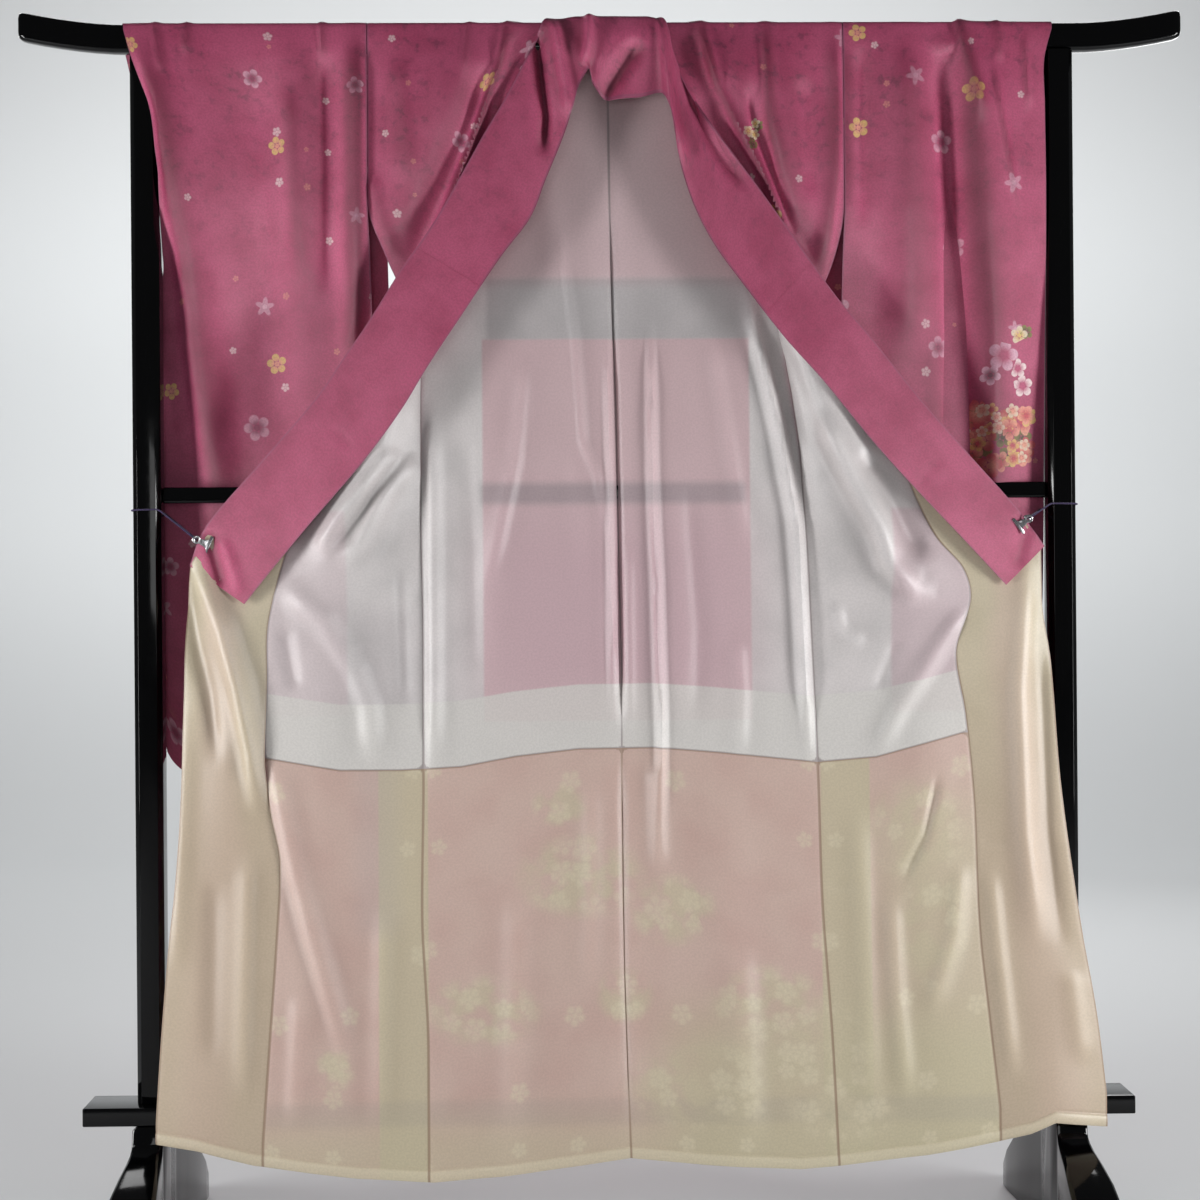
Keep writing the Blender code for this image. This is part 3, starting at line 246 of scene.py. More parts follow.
FRONT_CREASES = {"R": [
    (1.3, 1.2, 1, [(-29.5, 61), (-32, 64.5), (-35, 67.5), (-38, 71), (-40, 74), (-39.5, 77)]),
    (-0.8, 1, 1, [(-30, 62), (-32.5, 66), (-34.5, 70), (-36.5, 73), (-39, 75.5)]),
    (1, 1, 1.4, [(-27, 62), (-31.5, 68), (-33, 71), (-35, 75), (-38.5, 77)]),
    (0.9, 1.6, 1.8, [(-46.5, 80), (-40.5, 85), (-36, 91), (-34, 96), (-33.5, 105)]),
    (-0.52, 1.2, 1.2, [(-46, 86), (-44.5, 95)]),
    (-0.45, 1.2, 1.2, [(-29.5, 77), (-29, 97)]),
    (0.95, 1.2, 2.2, [(-48, 103), (-46.4, 112), (-44.6, 121), (-42.4, 130), (-39, 143), (-37, 152)]),
    (-0.18, 0.4, 0.4, [(-38.5, 124), (-34, 125.5), (-28, 124.5)]),
    (0.52, 1.6, 1.6, [(-32, 125), (-33, 160)]),
    (0.45, 1.2, 1.8, [(-44, 139), (-45, 160)]),
], "L": [
    (1.9, 1.3, 1.9, [(30, 56), (32, 61), (35, 67), (38.5, 73), (40, 78), (43.5, 82.5), (47, 83)]),
    (-1.3, 1.6, 2, [(36, 62), (39, 66), (42.5, 73), (45.5, 78)]),
    (0.8, 1.4, 1.6, [(51, 86), (46, 93), (41.5, 99), (38, 105)]),
    (-0.45, 1, 1.5, [(41.5, 89), (38.5, 96)]),
    (0.45, 1, 1, [(32.5, 83), (33.5, 87), (37, 89)]),
    (-0.52, 0.5, 0.6, [(47, 110), (45, 118), (42.5, 122.5), (41, 124.5)]),
    (-0.22, 0.4, 0.4, [(31, 123.5), (42.5, 122.5)]),
    (0.52, 1.2, 1.6, [(50, 123), (49, 132), (45, 145)]),
    (0.45, 1.6, 1.6, [(35.5, 111), (36.5, 140), (37, 160)]),
    (0.6, 1.4, 1.4, [(40, 125), (40.5, 140), (42, 158)]),
]}
OKUMI_CREASES = {"R": [
    (1.7, 1.3, 1.6, [(-58.6, 75), (-57.2, 80), (-54.6, 87), (-52.4, 95), (-50.6, 104), (-49.5, 114)]),
    (-1, 1.4, 1.2, [(-59.6, 80), (-58.2, 88), (-56.4, 96), (-55.4, 106)]),
    (-0.52, 1.5, 1.5, [(-56, 122), (-56.5, 153)]),
    (0.52, 1, 1.4, [(-59.5, 96), (-60.5, 118), (-61.5, 139)]),
    (0.6, 1.6, 1.2, [(-51, 118), (-52, 157)]),
], "L": [
    (0.91, 1.6, 1.4, [(60, 77), (59.5, 86), (58.5, 99), (59, 119), (61, 137)]),
    (-0.65, 1.4, 1.2, [(61.5, 92), (62.5, 119), (64.5, 137)]),
    (-0.16, 0.4, 0.4, [(53, 120.5), (57, 120)]),
    (0.39, 1.6, 1.6, [(65.5, 140), (67, 156)]),
    (0.52, 1.2, 1.2, [(54, 123), (55.5, 140), (57, 157)]),
]}
UPPER_FRONT_CREASES = {"R": [
    (1.5, 0.6, 0.8, [(-13.5, -1), (-14.5, 6), (-18, 15), (-20.5, 22), (-23.5, 30), (-26.5, 38)]),
    (-1.4, 2, 1.2, [(-16.5, 6), (-19.5, 16), (-22.6, 23), (-25.6, 30), (-28.5, 37)]),
    (0.39, 0.5, 0.6, [(-19, -1), (-20, 8)]),
    (0.5, 2, 1.4, [(-29, 5), (-28.5, 15), (-27.5, 24)]),
    (0.45, 0.6, 1.2, [(-33.4, 22), (-32.2, 28), (-30, 34)]),
], "L": [
    (1.6, 0.7, 0.8, [(13.7, -1), (15.9, 10), (21.2, 20), (26.4, 30.7), (28.6, 34.5), (31, 40)]),
    (-1.5, 0.9, 1, [(14.5, 9), (18.2, 16.7), (22.6, 24.1), (27.3, 32.9), (30, 38)]),
    (-1.2, 1, 1.4, [(20.5, 9), (22, 16), (24.6, 23), (27.5, 31), (30, 38)]),
    (0.8, 0.6, 1.2, [(23.2, -1), (23.6, 14.5), (24.9, 21.5), (27.5, 30), (29, 36)]),
    (1, 1.6, 0.6, [(33.2, 1), (33.4, 12), (33.2, 22), (32.2, 30), (31, 38)]),
    (-0.6, 1.4, 1.4, [(28.5, 8), (29.5, 26)]),
]}
SLEEVE_CREASES = {"R": [
    (2, 1.6, 3.2, [(-66.5, 1), (-64.6, 8), (-63, 14), (-61.3, 24), (-60, 33), (-59.2, 45),
                     (-56.8, 63), (-56.4, 74)]),
    (1.6, 1.9, 1, [(-35.2, 1), (-35.3, 18), (-35.5, 37), (-36.5, 52)]),
    (-1.1, 1.6, 2.2, [(-39.6, 4), (-39.2, 22), (-39.6, 40)]),
    (-1.2, 4.5, 4.5, [(-50, 5), (-48, 30), (-46, 66)]),
    (0.5, 0.4, 0.5, [(-40.3, -1), (-40, 5.5)]),
    (0.5, 0.5, 0.6, [(-59.5, -1), (-59.5, 4.5)]),
    (0.6, 1.3, 1.3, [(-45, 9), (-43.5, 39)]),
    (0.45, 0.5, 0.6, [(-64.5, -1), (-62.5, 8)]),
], "L": [
    (-2.2, 2.2, 1.7, [(49.6, 0), (49.7, 9), (49.9, 18), (50.4, 33), (51, 44), (51.5, 84)]),
    (1.8, 1.9, 4.5, [(52, 0), (53.2, 6), (54, 14), (54.8, 24), (55.6, 33), (56.2, 44), (56.6, 84)]),
    (0.9, 0.5, 1.3, [(50.4, -1.5), (51.5, 3), (52.8, 9), (53.8, 15)]),
    (1.2, 3, 2.4, [(43.4, 2), (43.8, 14), (44.4, 30), (44.8, 50)]),
    (0.45, 0.4, 0.4, [(56, 6), (57, 14), (59.5, 28)]),
    (0.45, 0.4, 0.5, [(60.5, 2), (61, 13)]),
    (0.45, 0.5, 0.5, [(56.5, -1), (57, 6)]),
    (-0.6, 1, 1, [(37, 3), (37, 30)]),
]}
COLLAR_CREASES = [
    (-1.5, 0.8, 0.9, [(-9.6, 1), (-8.9, 8), (-8.2, 14), (-8.6, 20)]),
    (1.1, 0.8, 0.8, [(-7.2, -1), (-6.2, 5), (-5.2, 10), (-5, 15)]),
    (1.5, 0.5, 0.8, [(-2, -2), (-2.2, 3), (-2.8, 7)]),
    (-1.5, 1.2, 1.2, [(-0.6, 13), (1.5, 9), (5.5, 3)]),
    (1.3, 0.7, 0.9, [(8.2, -2), (8.8, 6), (9.8, 14), (11.6, 22)]),
    (-1.1, 0.8, 1, [(10.6, 2), (12.6, 12), (16.2, 19), (20.4, 25)]),
    (-0.1, 0.3, 0.3, [(-44, 63), (-41.5, 66)]),
    (-0.1, 0.3, 0.3, [(44, 66.5), (47.5, 63)]),
    (-0.9, 0.9, 1, [(-56.4, 72.5), (-55.4, 76.5), (-54.2, 81)]),
    (0.5, 0.8, 0.9, [(-54.6, 74), (-53, 78), (-51.8, 82)]),
    (-0.4, 1, 1, [(60.5, 71), (59, 75), (58, 79)]),
    (-0.15, 0.35, 0.35, [(-39, 58), (-35.5, 61.5)]),
]

# ---------------------------------------------------------------- smooth curves

def hermite(knots, values, slopes, at):
    """Values on smooth curves of the given slopes, at each of several places among the knots."""
    at = np.clip(np.atleast_1d(at), knots[0], knots[-1])
    i = np.minimum(np.searchsorted(knots, at, side="right") - 1, len(knots) - 2)
    span = (knots[i + 1] - knots[i])[:, None]
    t = (at - knots[i])[:, None] / span
    return (
        (1 + 2 * t) * (1 - t) ** 2 * values[i]
        + t * (1 - t) ** 2 * span * slopes[i]
        + t * t * (3 - 2 * t) * values[i + 1]
        + t * t * (t - 1) * span * slopes[i + 1]
    )


def read(rows, at):
    """Every column of a table, read smoothly at values of its first column."""
    rows = np.array(rows, float)
    knots, values = rows[:, 0], rows[:, 1:]
    steps = np.diff(values, axis=0) / np.diff(knots)[:, None]
    slopes = np.gradient(values, knots, axis=0)
    slopes[1:-1] *= steps[:-1] * steps[1:] > 0
    return hermite(knots, values, slopes, at)


def through(points, shares):
    """Points on the smooth curve through the given ones, at shares of its length from 0 to 1."""
    points = np.array(points, float)
    spans = np.linalg.norm(np.diff(points, axis=0), axis=1)
    knots = np.concatenate([[0.0], np.cumsum(spans)])
    return hermite(knots, points, np.gradient(points, knots, axis=0), np.array(shares) * knots[-1])


def smooth(low, high, value):
    """A soft step from 0 at low to 1 at high."""
    t = np.clip((np.asarray(value, float) - low) / (high - low), 0, 1)
    return t * t * (3 - 2 * t)


def fade(low, high, value):
    """A soft step from 1 at low to 0 at high."""
    return 1 - smooth(low, high, value)


def sign(side):
    return -1 if side == "R" else 1


def folded(folds, x, drop):
    """How far forward broad folds lift a panel."""
    lift = 0.0
    for x0, drop0, x1, drop1, width, forward in folds:
        t = (drop - drop0) / (drop1 - drop0)
        along = smooth(-0.25, 0.15, t) * fade(0.85, 1.25, t)
        lift = lift + forward * along * np.exp(-((x - x0 - (x1 - x0) * t) / width) ** 2)
    return lift


def creased(creases, x, drop):
    """How far forward creases lift the cloth, from its place in x and drop. A trough is negative."""
    total = np.zeros(np.shape(x))
    for height, width_left, width_right, path in creases:
        path = np.array(path, float)
        lengths = np.linalg.norm(np.diff(path, axis=0), axis=1)
        nearest = np.full(np.shape(x), np.inf)
        beside, along = np.zeros(np.shape(x)), np.zeros(np.shape(x))
        for k, (start, end) in enumerate(zip(path, path[1:])):
            way = (end - start) / lengths[k]
            t = np.clip((x - start[0]) * way[0] + (drop - start[1]) * way[1], 0, lengths[k])
            off_x, off_drop = x - start[0] - t * way[0], drop - start[1] - t * way[1]
            away = np.hypot(off_x, off_drop)
            closer = away < nearest
            nearest = np.where(closer, away, nearest)
            beside = np.where(closer, off_x * way[1] - off_drop * way[0], beside)
            along = np.where(closer, lengths[:k].sum() + t, along)
        share = along / lengths.sum()
        width = np.where(beside < 0, width_left, width_right)
        ends = smooth(-0.02, 0.16, share) * fade(0.78, 1.02, share)
        total += height * np.exp(-(nearest / width) ** 2) * ends
    return total


# The deepest trough in front of the rail, how much deeper one may be when clear of it, and the
# drops between which it gets clear
RAIL_GAP, FREE_DEPTH, RAIL_CLEAR = 0.03, 3.0, (3.5, 9)


def clear_of_rail(lift, drop):
    """Creases whose troughs stay off the rail, which lies right behind the top of the cloth."""
    return np.maximum(lift, -RAIL_GAP - FREE_DEPTH * smooth(*RAIL_CLEAR, drop))


# How far from the seam across the lining its own line is followed
SEAM_REACH = 30


def hung(x, y, drop):
    """Points in metres, with their drop fitted to the hem and the seam across the lining."""
    hem = np.interp(x, *np.array(HEM_LINE).T) - HEM_DROP
    seam = np.interp(x, *np.array(LINING_SEAM_LINE).T) - LINING_SEAM_DROP
    low = smooth(LINING_SEAM_DROP + 5, HEM_DROP, drop)
    near = np.maximum(0.0, 1 - abs(drop - LINING_SEAM_DROP) / SEAM_REACH)
    z = RAIL_TOP - drop - hem * low - seam * near * (2 - near)
    return np.stack([x, y, z], axis=-1) * CM


# ---------------------------------------------------------------- cloth surfaces

# How far forward the cloth stays where it dips back behind the collar, and the drops between which
# it goes back and comes out again
DIP_Y, DIP_IN, DIP_OUT = -1.7, (5, 16), (34, 46)
# The drops between which a front's upper creases end and its lower ones start, and between which
# the part past its first fold comes into sight
UPPER_END, LOWER_START, TURN_SHOWS = (40, 52), (44, 52), (42, 54)
# The drops between which a sleeve's back layer reaches in and goes back, and its creases end, and
# the drops from which its folds end and its corner is rounded
REACH_IN, REACH_OUT, SLEEVE_CREASES_END = (14, 21), (40, 47), (70, 90)
SLEEVE_FOLDS_END, CORNER_FROM = 85, 70
# The share of a front past its first fold over which creases fade, where it turns in behind
TURN_AWAY = (0.03, 0.12)
# Points across a panel, the length of cloth between its rows, and the rows over the rail
ACROSS, STEP, OVER_STEPS = 70, 0.8, 15
# The drop whose creases run on over the rail
CREASE_TOP = 1.5
# The drop of an inner front strip's narrow end, and the points across it
OKUMI_TOP, OKUMI_ACROSS = 50, 44
# The drops between which the open side seam closes, and the drop where a panel starts to hang
SIDE_PARTS, HANG_TOP = (50, 60), 3


def drops_between(low, high):
    """Drops down a panel, a step or so apart, with both ends and the seam across the lining."""
    parts = [np.linspace(a, b, round((b - a) / STEP), endpoint=False)
             for a, b in ((low, LINING_SEAM_DROP), (LINING_SEAM_DROP, high))]
    return np.concatenate(parts + [[high]])


def collar_row(at):
    """Four points across the collar at a row number, as x, drop and y."""
    rows = np.array(COLLAR)
    row = read(np.column_stack([np.arange(len(rows)), rows]), at)[0]
    seam, free, forward, over = row[0:3], row[3:6], row[6], row[7]
    upper = seam + (free - seam) / 3 - [0, 0, forward]
    lower = seam + (free - seam) * 2 / 3 - [0, 0, forward]
    # Behind the neck the row goes over the rail's top and comes down in front of it
    upper += (np.array([upper[0], -0.62, -1.55]) - upper) * over
    lower += (np.array([lower[0], 0.9, -2.45]) - lower) * over
    return [seam, upper, lower, free]


def collar_seam(side, drops):
    """x and y of the collar's sewn edge at some drops."""
    rows = COLLAR[:COLLAR_NECK[0]][::-1] if side == "R" else COLLAR[COLLAR_NECK[1]:]
    return read([(row[1], row[0], row[2]) for row in rows], drops)


def tucked(side, drops):
    """x and y at some drops of an edge that goes in under the collar."""
    return collar_seam(side, drops) + [-sign(side) * TUCK, TUCK]


def front_sections(side, drops, shares):
    """x and y across a front, from its side edge to its inner edge, at some drops."""
    s = sign(side)
    edges, folds = read(SIDE[side], drops), read(FRONT_FOLDS[side], drops)
    ends = np.where(drops[:, None] < OKUMI_SEAM[side][0][0], tucked(side, drops),
                    read(OKUMI_SEAM[side], drops) - [s * SEAM_GAP, 0])
    rows = []
    for i, drop in enumerate(drops):
        first, second = folds[i, :2], folds[i, 2:]
        start = (edges[i, 0] + s * SIDE_GAP * smooth(*SIDE_PARTS, drop), edges[i, 1])
        # Behind the collar the cloth dips back before it turns round the second fold
        dip = smooth(*DIP_IN, drop) * fade(*DIP_OUT, drop)
        between = np.array([
            first[0] + (second[0] - first[0]) * (0.5 + 0.15 * dip),
            (first[1] + second[1]) / 2,
        ])
        between[1] += (DIP_Y - between[1]) * dip
        rows.append(through([start, first, between, second, ends[i]], shares))
    return np.array(rows)


def over_rail(x, y, drop, lift):
    """A row of points over the rail. Its creases stand forward in front and up on the top."""
    lift = clear_of_rail(lift, 0)
    up = smooth(-1.7, -0.9, y)
    return np.stack([x, y - lift * (1 - up), RAIL_TOP - drop + 0.5 * lift * up], axis=-1) * CM


def body_grid(side):
    """A body panel's points: up the front, over the rail and down the back, in rows."""
    s = sign(side)
    shares = np.linspace(0, 1, ACROSS)
    # Up the front
    drops = drops_between(HANG_TOP, HEM_DROP)[::-1]
    x, y = np.moveaxis(front_sections(side, drops, shares), -1, 0)
    x_top, down = x[-1], drops[:, None] + np.zeros(ACROSS)
    folds = read(FRONT_FOLDS[side], drops)
    turn = np.argmin(abs(x - folds[:, :1]) + abs(y - folds[:, 1:2]), axis=1) / (ACROSS - 1)
    # Read from every twelfth row, to run smoothly
    turn = read(np.column_stack([drops[::-12], turn[::-12]]), drops)[:, 0]
    seen = 1 - smooth(*TURN_AWAY, shares - turn[:, None]) * fade(*TURN_SHOWS, down)
    above = creased(UPPER_FRONT_CREASES[side], x, down) * fade(*UPPER_END, down)
    below = creased(FRONT_CREASES[side], x, down) * smooth(*LOWER_START, down)
    rows = [hung(x, y - clear_of_rail((above + below) * seen, down), down)]
    # Over the rail
    for y0, drop, gone in through(RAIL_PATH, np.linspace(0, 1, OVER_STEPS)):
        gone = min(max(gone, 0.0), 1.0)
        x_front = x_top + (NECK_X[side] - x_top) * smooth(0.75, 1, shares)
        x_centre = CENTRE_BACK[0][1] + s * SEAM_GAP
        x_back = SIDE[side][0][1] + (x_centre - SIDE[side][0][1]) * shares
        x = x_front + (x_back - x_front) * gone
        lift = creased(UPPER_FRONT_CREASES[side], x_front, np.full(ACROSS, CREASE_TOP))
        lift *= fade(*TURN_AWAY, shares - turn[-1]) * fade(0.2, 0.9, gone)
        rows.append(over_rail(x, y0, drop, lift)[None])
    # Down the back
    drops = drops_between(HANG_TOP, HEM_DROP)
    edges, centre = read(SIDE[side], drops), read(CENTRE_BACK, drops)
    start = edges[:, :1] - s * SIDE_GAP * smooth(*SIDE_PARTS, drops)[:, None]
    x = start + (centre[:, :1] + s * SEAM_GAP - start) * shares
    y = edges[:, 2:3] + (centre[:, 1:2] - edges[:, 2:3]) * shares
    down = drops[:, None] + np.zeros(ACROSS)
    y = y - folded(BACK_FOLDS[side], x, down) * np.sqrt(np.sin(math.pi * shares))
    y = y - creased(BACK_CREASES, x, down)
    rows.append(hung(x, y, down))
    return np.concatenate(rows), len(rows[0]), len(rows[0]) + OVER_STEPS


def okumi_grid(side):
    """An inner front strip's points, from the hem up to its narrow end."""
    s = sign(side)
    drops = drops_between(OKUMI_TOP, HEM_DROP)[::-1]
    shares = np.linspace(0, 1, OKUMI_ACROSS)
    seam, middle = read(OKUMI_SEAM[side], drops), read(OKUMI_MIDDLE[side], drops)
    seam = seam + [s * SEAM_GAP, 0]
    edge = np.where(drops[:, None] < FRONT_EDGE[side][0][0], tucked(side, drops),
                    read(FRONT_EDGE[side], drops))
    x, y = np.moveaxis([through(row, shares) for row in zip(seam, middle, edge)], -1, 0)
    down = drops[:, None] + np.zeros(len(shares))
    return hung(x, y - creased(OKUMI_CREASES[side], x, down), down)


def sleeve_grid(side):
    """A sleeve's points: up its front, over the rail and down its back, joined at the bottom."""
    shares = np.linspace(0, 1, ACROSS)
    bottom = SLEEVE_INNER[side][-1][0]
    layers = []
    for layer in (0, 1):
        drops = drops_between(HANG_TOP, bottom)
        inner, outer = read(SLEEVE_INNER[side], drops), read(SLEEVE_OUTER[side], drops)
        # The back layer reaches a little further in, where it shows past the body
        reach = smooth(*REACH_IN, drops) * fade(*REACH_OUT, drops) * SLEEVE_BACK_REACH[side]
        x0 = inner[:, :1] - sign(side) * reach[:, None] * layer
        y0 = inner[:, 1 + layer: 2 + layer]
        x1, y1, x_back, y_back = np.split(outer, 4, axis=1)
        x1, y1 = x1 + x_back * layer, y1 + np.maximum(y_back, SLEEVE_GAP) * layer
        x, y = x0 + (x1 - x0) * shares, y0 + (y1 - y0) * shares
        down = drops[:, None] + np.zeros(ACROSS)
        inside = np.sin(math.pi * shares)
        calm = fade(SLEEVE_FOLDS_END, bottom, down)
        y = y - folded(SLEEVE_FOLDS[side], x, down) * calm * inside * (1 if layer == 0 else -0.5)
        if layer == 0:
            room = smooth(0, 0.03, shares) * smooth(0, 0.04, 1 - shares)
            lift = creased(SLEEVE_CREASES[side], x, down) * room * fade(*SLEEVE_CREASES_END, down)
            y = y - clear_of_rail(lift, down)
        corner = np.maximum(0.0, SLEEVE_ROUND - abs(x1 - x))
        rise = SLEEVE_ROUND - np.sqrt(SLEEVE_ROUND ** 2 - np.minimum(corner, SLEEVE_ROUND) ** 2)
        z = RAIL_TOP - down + rise * smooth(CORNER_FROM, bottom, down)
        layers.append(np.stack([x, y, z], axis=-1) * CM)
    over = []
    x_inner, first = SLEEVE_INNER[side][0][1], SLEEVE_OUTER[side][0]
    for y0, drop, _ in through(RAIL_PATH, np.linspace(0, 1, OVER_STEPS)):
        back = (y0 + RAIL_CLOTH_Y) / (2 * RAIL_CLOTH_Y)
        x = x_inner + (first[1] + first[3] * back - x_inner) * shares
        lift = creased(SLEEVE_CREASES[side], x, np.full(ACROSS, CREASE_TOP))
        over.append(over_rail(x, y0, drop, lift * fade(0.1, 0.8, back)))
    return np.concatenate([layers[0][::-1], np.array(over), layers[1]])


def collar_grid(first, last):
    """The collar's points across it, in 14 rows from each row number to the next."""
    places = np.linspace(first, last, int((last - first) * 14) + 1)
    rows = [through(collar_row(at), np.linspace(0, 1, 25)) for at in places]
    x, drop, y = np.moveaxis(rows, -1, 0)
    return np.stack([x, y - creased(COLLAR_CREASES, x, drop), RAIL_TOP - drop], axis=-1) * CM


def normals(points):
    """Unit normals of a sheet, on the side that faces the viewer."""
    normal = np.cross(np.gradient(points, axis=1), np.gradient(points, axis=0))
    normal /= np.linalg.norm(normal, axis=2)[:, :, None] + 1e-12
    return normal * (-1 if normal[:, :, 1].mean() > 0 else 1)


def moved_out(points, distance):
    """A sheet's points moved along its normals, to lie on its face."""
    return points + normals(points) * distance * CM


def inset(points, ends):
    """A sheet's points with its two side edges drawn in."""
    points = points.copy()
    for edge, inner in ((0, 1), (-1, -2)):
        way = points[:, inner] - points[:, edge]
        points[:, edge] += way / np.linalg.norm(way, axis=1)[:, None] * ends * CM
    return points


# How far out and how far back a lining's side edges go into their seams
SEWN_OUT, SEWN_BACK = 0.03, 0.05
# The padded roll along a hem and the stitched groove above it: depth, height above the edge of the
# middle, and half height
ROLL, GROOVE = (0.28, 0.75, 0.85), (0.05, 1.75, 0.2)
# The last rows of a lining's grid, and how many they become for its hem
HEM_ROWS, FINE_ROWS = 4, 22


def sewn(points):
    """A lining's points with its side edges drawn out and down into their seams."""
    points = inset(points, -SEWN_OUT)
    points[:, [0, -1], 1] += SEWN_BACK * CM
    return points


def rolled(points):
    """A lining's points with the padded roll along its hem, which is its last row."""
    steps = np.linalg.norm(np.diff(points, axis=0), axis=2).mean(axis=1)
    from_hem = (steps.sum() - np.concatenate([[0.0], np.cumsum(steps)])) / CM
    depth, middle, half = ROLL
    roll = depth * np.sqrt(np.clip(1 - ((from_hem - middle) / half) ** 2, 0, 1))
    depth, middle, half = GROOVE
    groove = depth * np.exp(-((from_hem - middle) / half) ** 2)
    points = points.copy()
    points[:, :, 1] -= (roll - groove)[:, None] * CM
    return points


def fine_hem(points):
    """A lining's points with more rows near its hem, which is its last row."""
    rows = len(points)
    coarse = rows - HEM_ROWS
    places = np.concatenate([np.arange(coarse), np.linspace(coarse, rows - 1, FINE_ROWS)])
    first = np.minimum(places.astype(int), rows - 2)
    share = (places - first)[:, None, None]
    return points[first] * (1 - share) + points[first + 1] * share

# ---------------------------------------------------------------- making pieces

# Faces that meet at less than the first are shaded smooth, and at more than the second bevelled
SMOOTH_ANGLE, BEVEL_ANGLE = math.radians(50), math.radians(25)


def select(piece):
    bpy.ops.object.select_all(action="DESELECT")
    piece.select_set(True)
    bpy.context.view_layer.objects.active = piece


def added(name):
    """The object that an operator has just added, under a name."""
    piece = bpy.context.object
    piece.name = piece.data.name = name
    return piece


def add_grid(name, points):
    """A sheet of faces on a grid of points in metres."""
    rows, columns = points.shape[:2]
    bpy.ops.mesh.primitive_grid_add(x_subdivisions=columns - 1, y_subdivisions=rows - 1)
    piece = added(name)
    piece.data.vertices.foreach_set("co", points.astype(np.float32).ravel())
    return piece


def apply_modifiers(piece):
    select(piece)
    for modifier in list(piece.modifiers):
        bpy.ops.object.modifier_apply(modifier=modifier.name)
    piece.select_set(False)


# How far to each side of a point its hollow is judged, in cm
HOLLOW_WIDTH = 3
# The least distance from a seam at a row that is one, in metres, to keep its first stitches soft
ROW_SEAM = 0.0006


def hollows(points, u):
    """How far each point of a grid lies behind the mean of its row for some way to each side."""
    window = max(1, round(HOLLOW_WIDTH * CM / (u[-1] - u[0]) * len(u)))
    y = np.pad(points[:, :, 1], ((0, 0), (window, window)), mode="edge")
    total = np.cumsum(np.pad(y, ((0, 0), (1, 0))), axis=1)
    mean = (total[:, 2 * window + 1:] - total[:, :-2 * window - 1]) / (2 * window + 1)
    facing = np.sign(-normals(points)[:, :, 1])
    return (points[:, :, 1] - mean) * facing


def add_cloth(name, points, thick, material, slot, node, start=(0.0, 0.0), ends="none"):
    """A thin shell on a grid of points. Its UV map is in metres along the cloth, from a start.

    Its attribute named seam is how far each point is from a sewn edge: either side edge, and the
    first or last row where ends names it. The one named hem is how far it is from its last row,
    and the one named hollow how far it lies behind the cloth about it.
    """
    piece = add_grid(name, points)
    mesh = piece.data
    across = np.linalg.norm(np.diff(points, axis=1), axis=2).mean(axis=0)
    along = np.linalg.norm(np.diff(points, axis=0), axis=2).mean(axis=1)
    u = np.concatenate([[0.0], np.cumsum(across)]) + start[0]
    v = np.concatenate([[0.0], np.cumsum(along)]) + start[1]
    places = np.stack(np.meshgrid(u, v), axis=-1).reshape(-1, 2)
    corner = np.empty(len(mesh.loops), int)
    mesh.loops.foreach_get("vertex_index", corner)
    mesh.uv_layers[0].data.foreach_set("uv", places[corner].astype(np.float32).ravel())
    flat = np.zeros(points.shape[:2])
    seam, hem = np.minimum(u - u[0], u[-1] - u) + flat, (v[-1] - v)[:, None] + flat
    if ends == "first":
        seam = np.minimum(seam, (v - v[0])[:, None] + ROW_SEAM)
    if ends == "last":
        seam = np.minimum(seam, hem + ROW_SEAM)
    for label, values in (("seam", seam), ("hem", hem), ("hollow", hollows(points, u))):
        layer = mesh.attributes.new(label, "FLOAT", "POINT")
        layer.data.foreach_set("value", values.astype(np.float32).ravel())
    shell = piece.modifiers.new("Solidify", "SOLIDIFY")
    shell.thickness = thick * CM
    shell.offset = 0
    apply_modifiers(piece)
    finish_piece(piece, material, node)
    return piece


def finish_piece(piece, material, node):
    select(piece)
    bpy.ops.object.shade_smooth_by_angle(angle=SMOOTH_ANGLE)
    piece.select_set(False)
    piece.data.materials.clear()
    piece.data.materials.append(material)
    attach(piece, "root")
    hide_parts(node)


def rounded_ring(half_wide, half_tall, radius, steps=5):
    """Points round a rounded rectangle, as pairs."""
    ring = []
    for quarter, (sx, sy) in enumerate(((1, 1), (-1, 1), (-1, -1), (1, -1))):
        for step in range(steps + 1):
            angle = math.pi / 2 * (quarter + step / steps)
            ring.append((
                sx * (half_wide - radius) + radius * math.cos(angle),
                sy * (half_tall - radius) + radius * math.sin(angle),
            ))
    return ring


def add_loft(name, rings, caps=True):
    """A solid through rings of equal count: a grid whose vertices are placed, joined and capped."""
    rings = np.array(rings, float) * CM
    piece = add_grid(name, np.concatenate([rings, rings[:, :1]], axis=1))
    bpy.ops.object.mode_set(mode="EDIT")
    bpy.ops.mesh.select_mode(type="VERT")
    bpy.ops.mesh.select_all(action="SELECT")
    bpy.ops.mesh.remove_doubles(threshold=0.00001)
    if caps:
        bpy.ops.mesh.select_all(action="DESELECT")
        bpy.ops.mesh.select_non_manifold()
        bpy.ops.mesh.fill_holes(sides=0)
    bpy.ops.mesh.select_all(action="SELECT")
    bpy.ops.mesh.normals_make_consistent(inside=False)
    bpy.ops.object.mode_set(mode="OBJECT")
    return piece


def bevel_edges(piece, width, segments=3):
    edges = piece.modifiers.new("Bevel", "BEVEL")
    edges.width, edges.segments, edges.limit_method = width * CM, segments, "ANGLE"
    edges.angle_limit = BEVEL_ANGLE
    apply_modifiers(piece)


def add_box(name, low, high):
    low, high = np.array(low) * CM, np.array(high) * CM
    bpy.ops.mesh.primitive_cube_add(size=1, location=(low + high) / 2)
    piece = added(name)
    piece.scale = high - low
    bpy.ops.object.transform_apply(location=True, rotation=True, scale=True)
    return piece


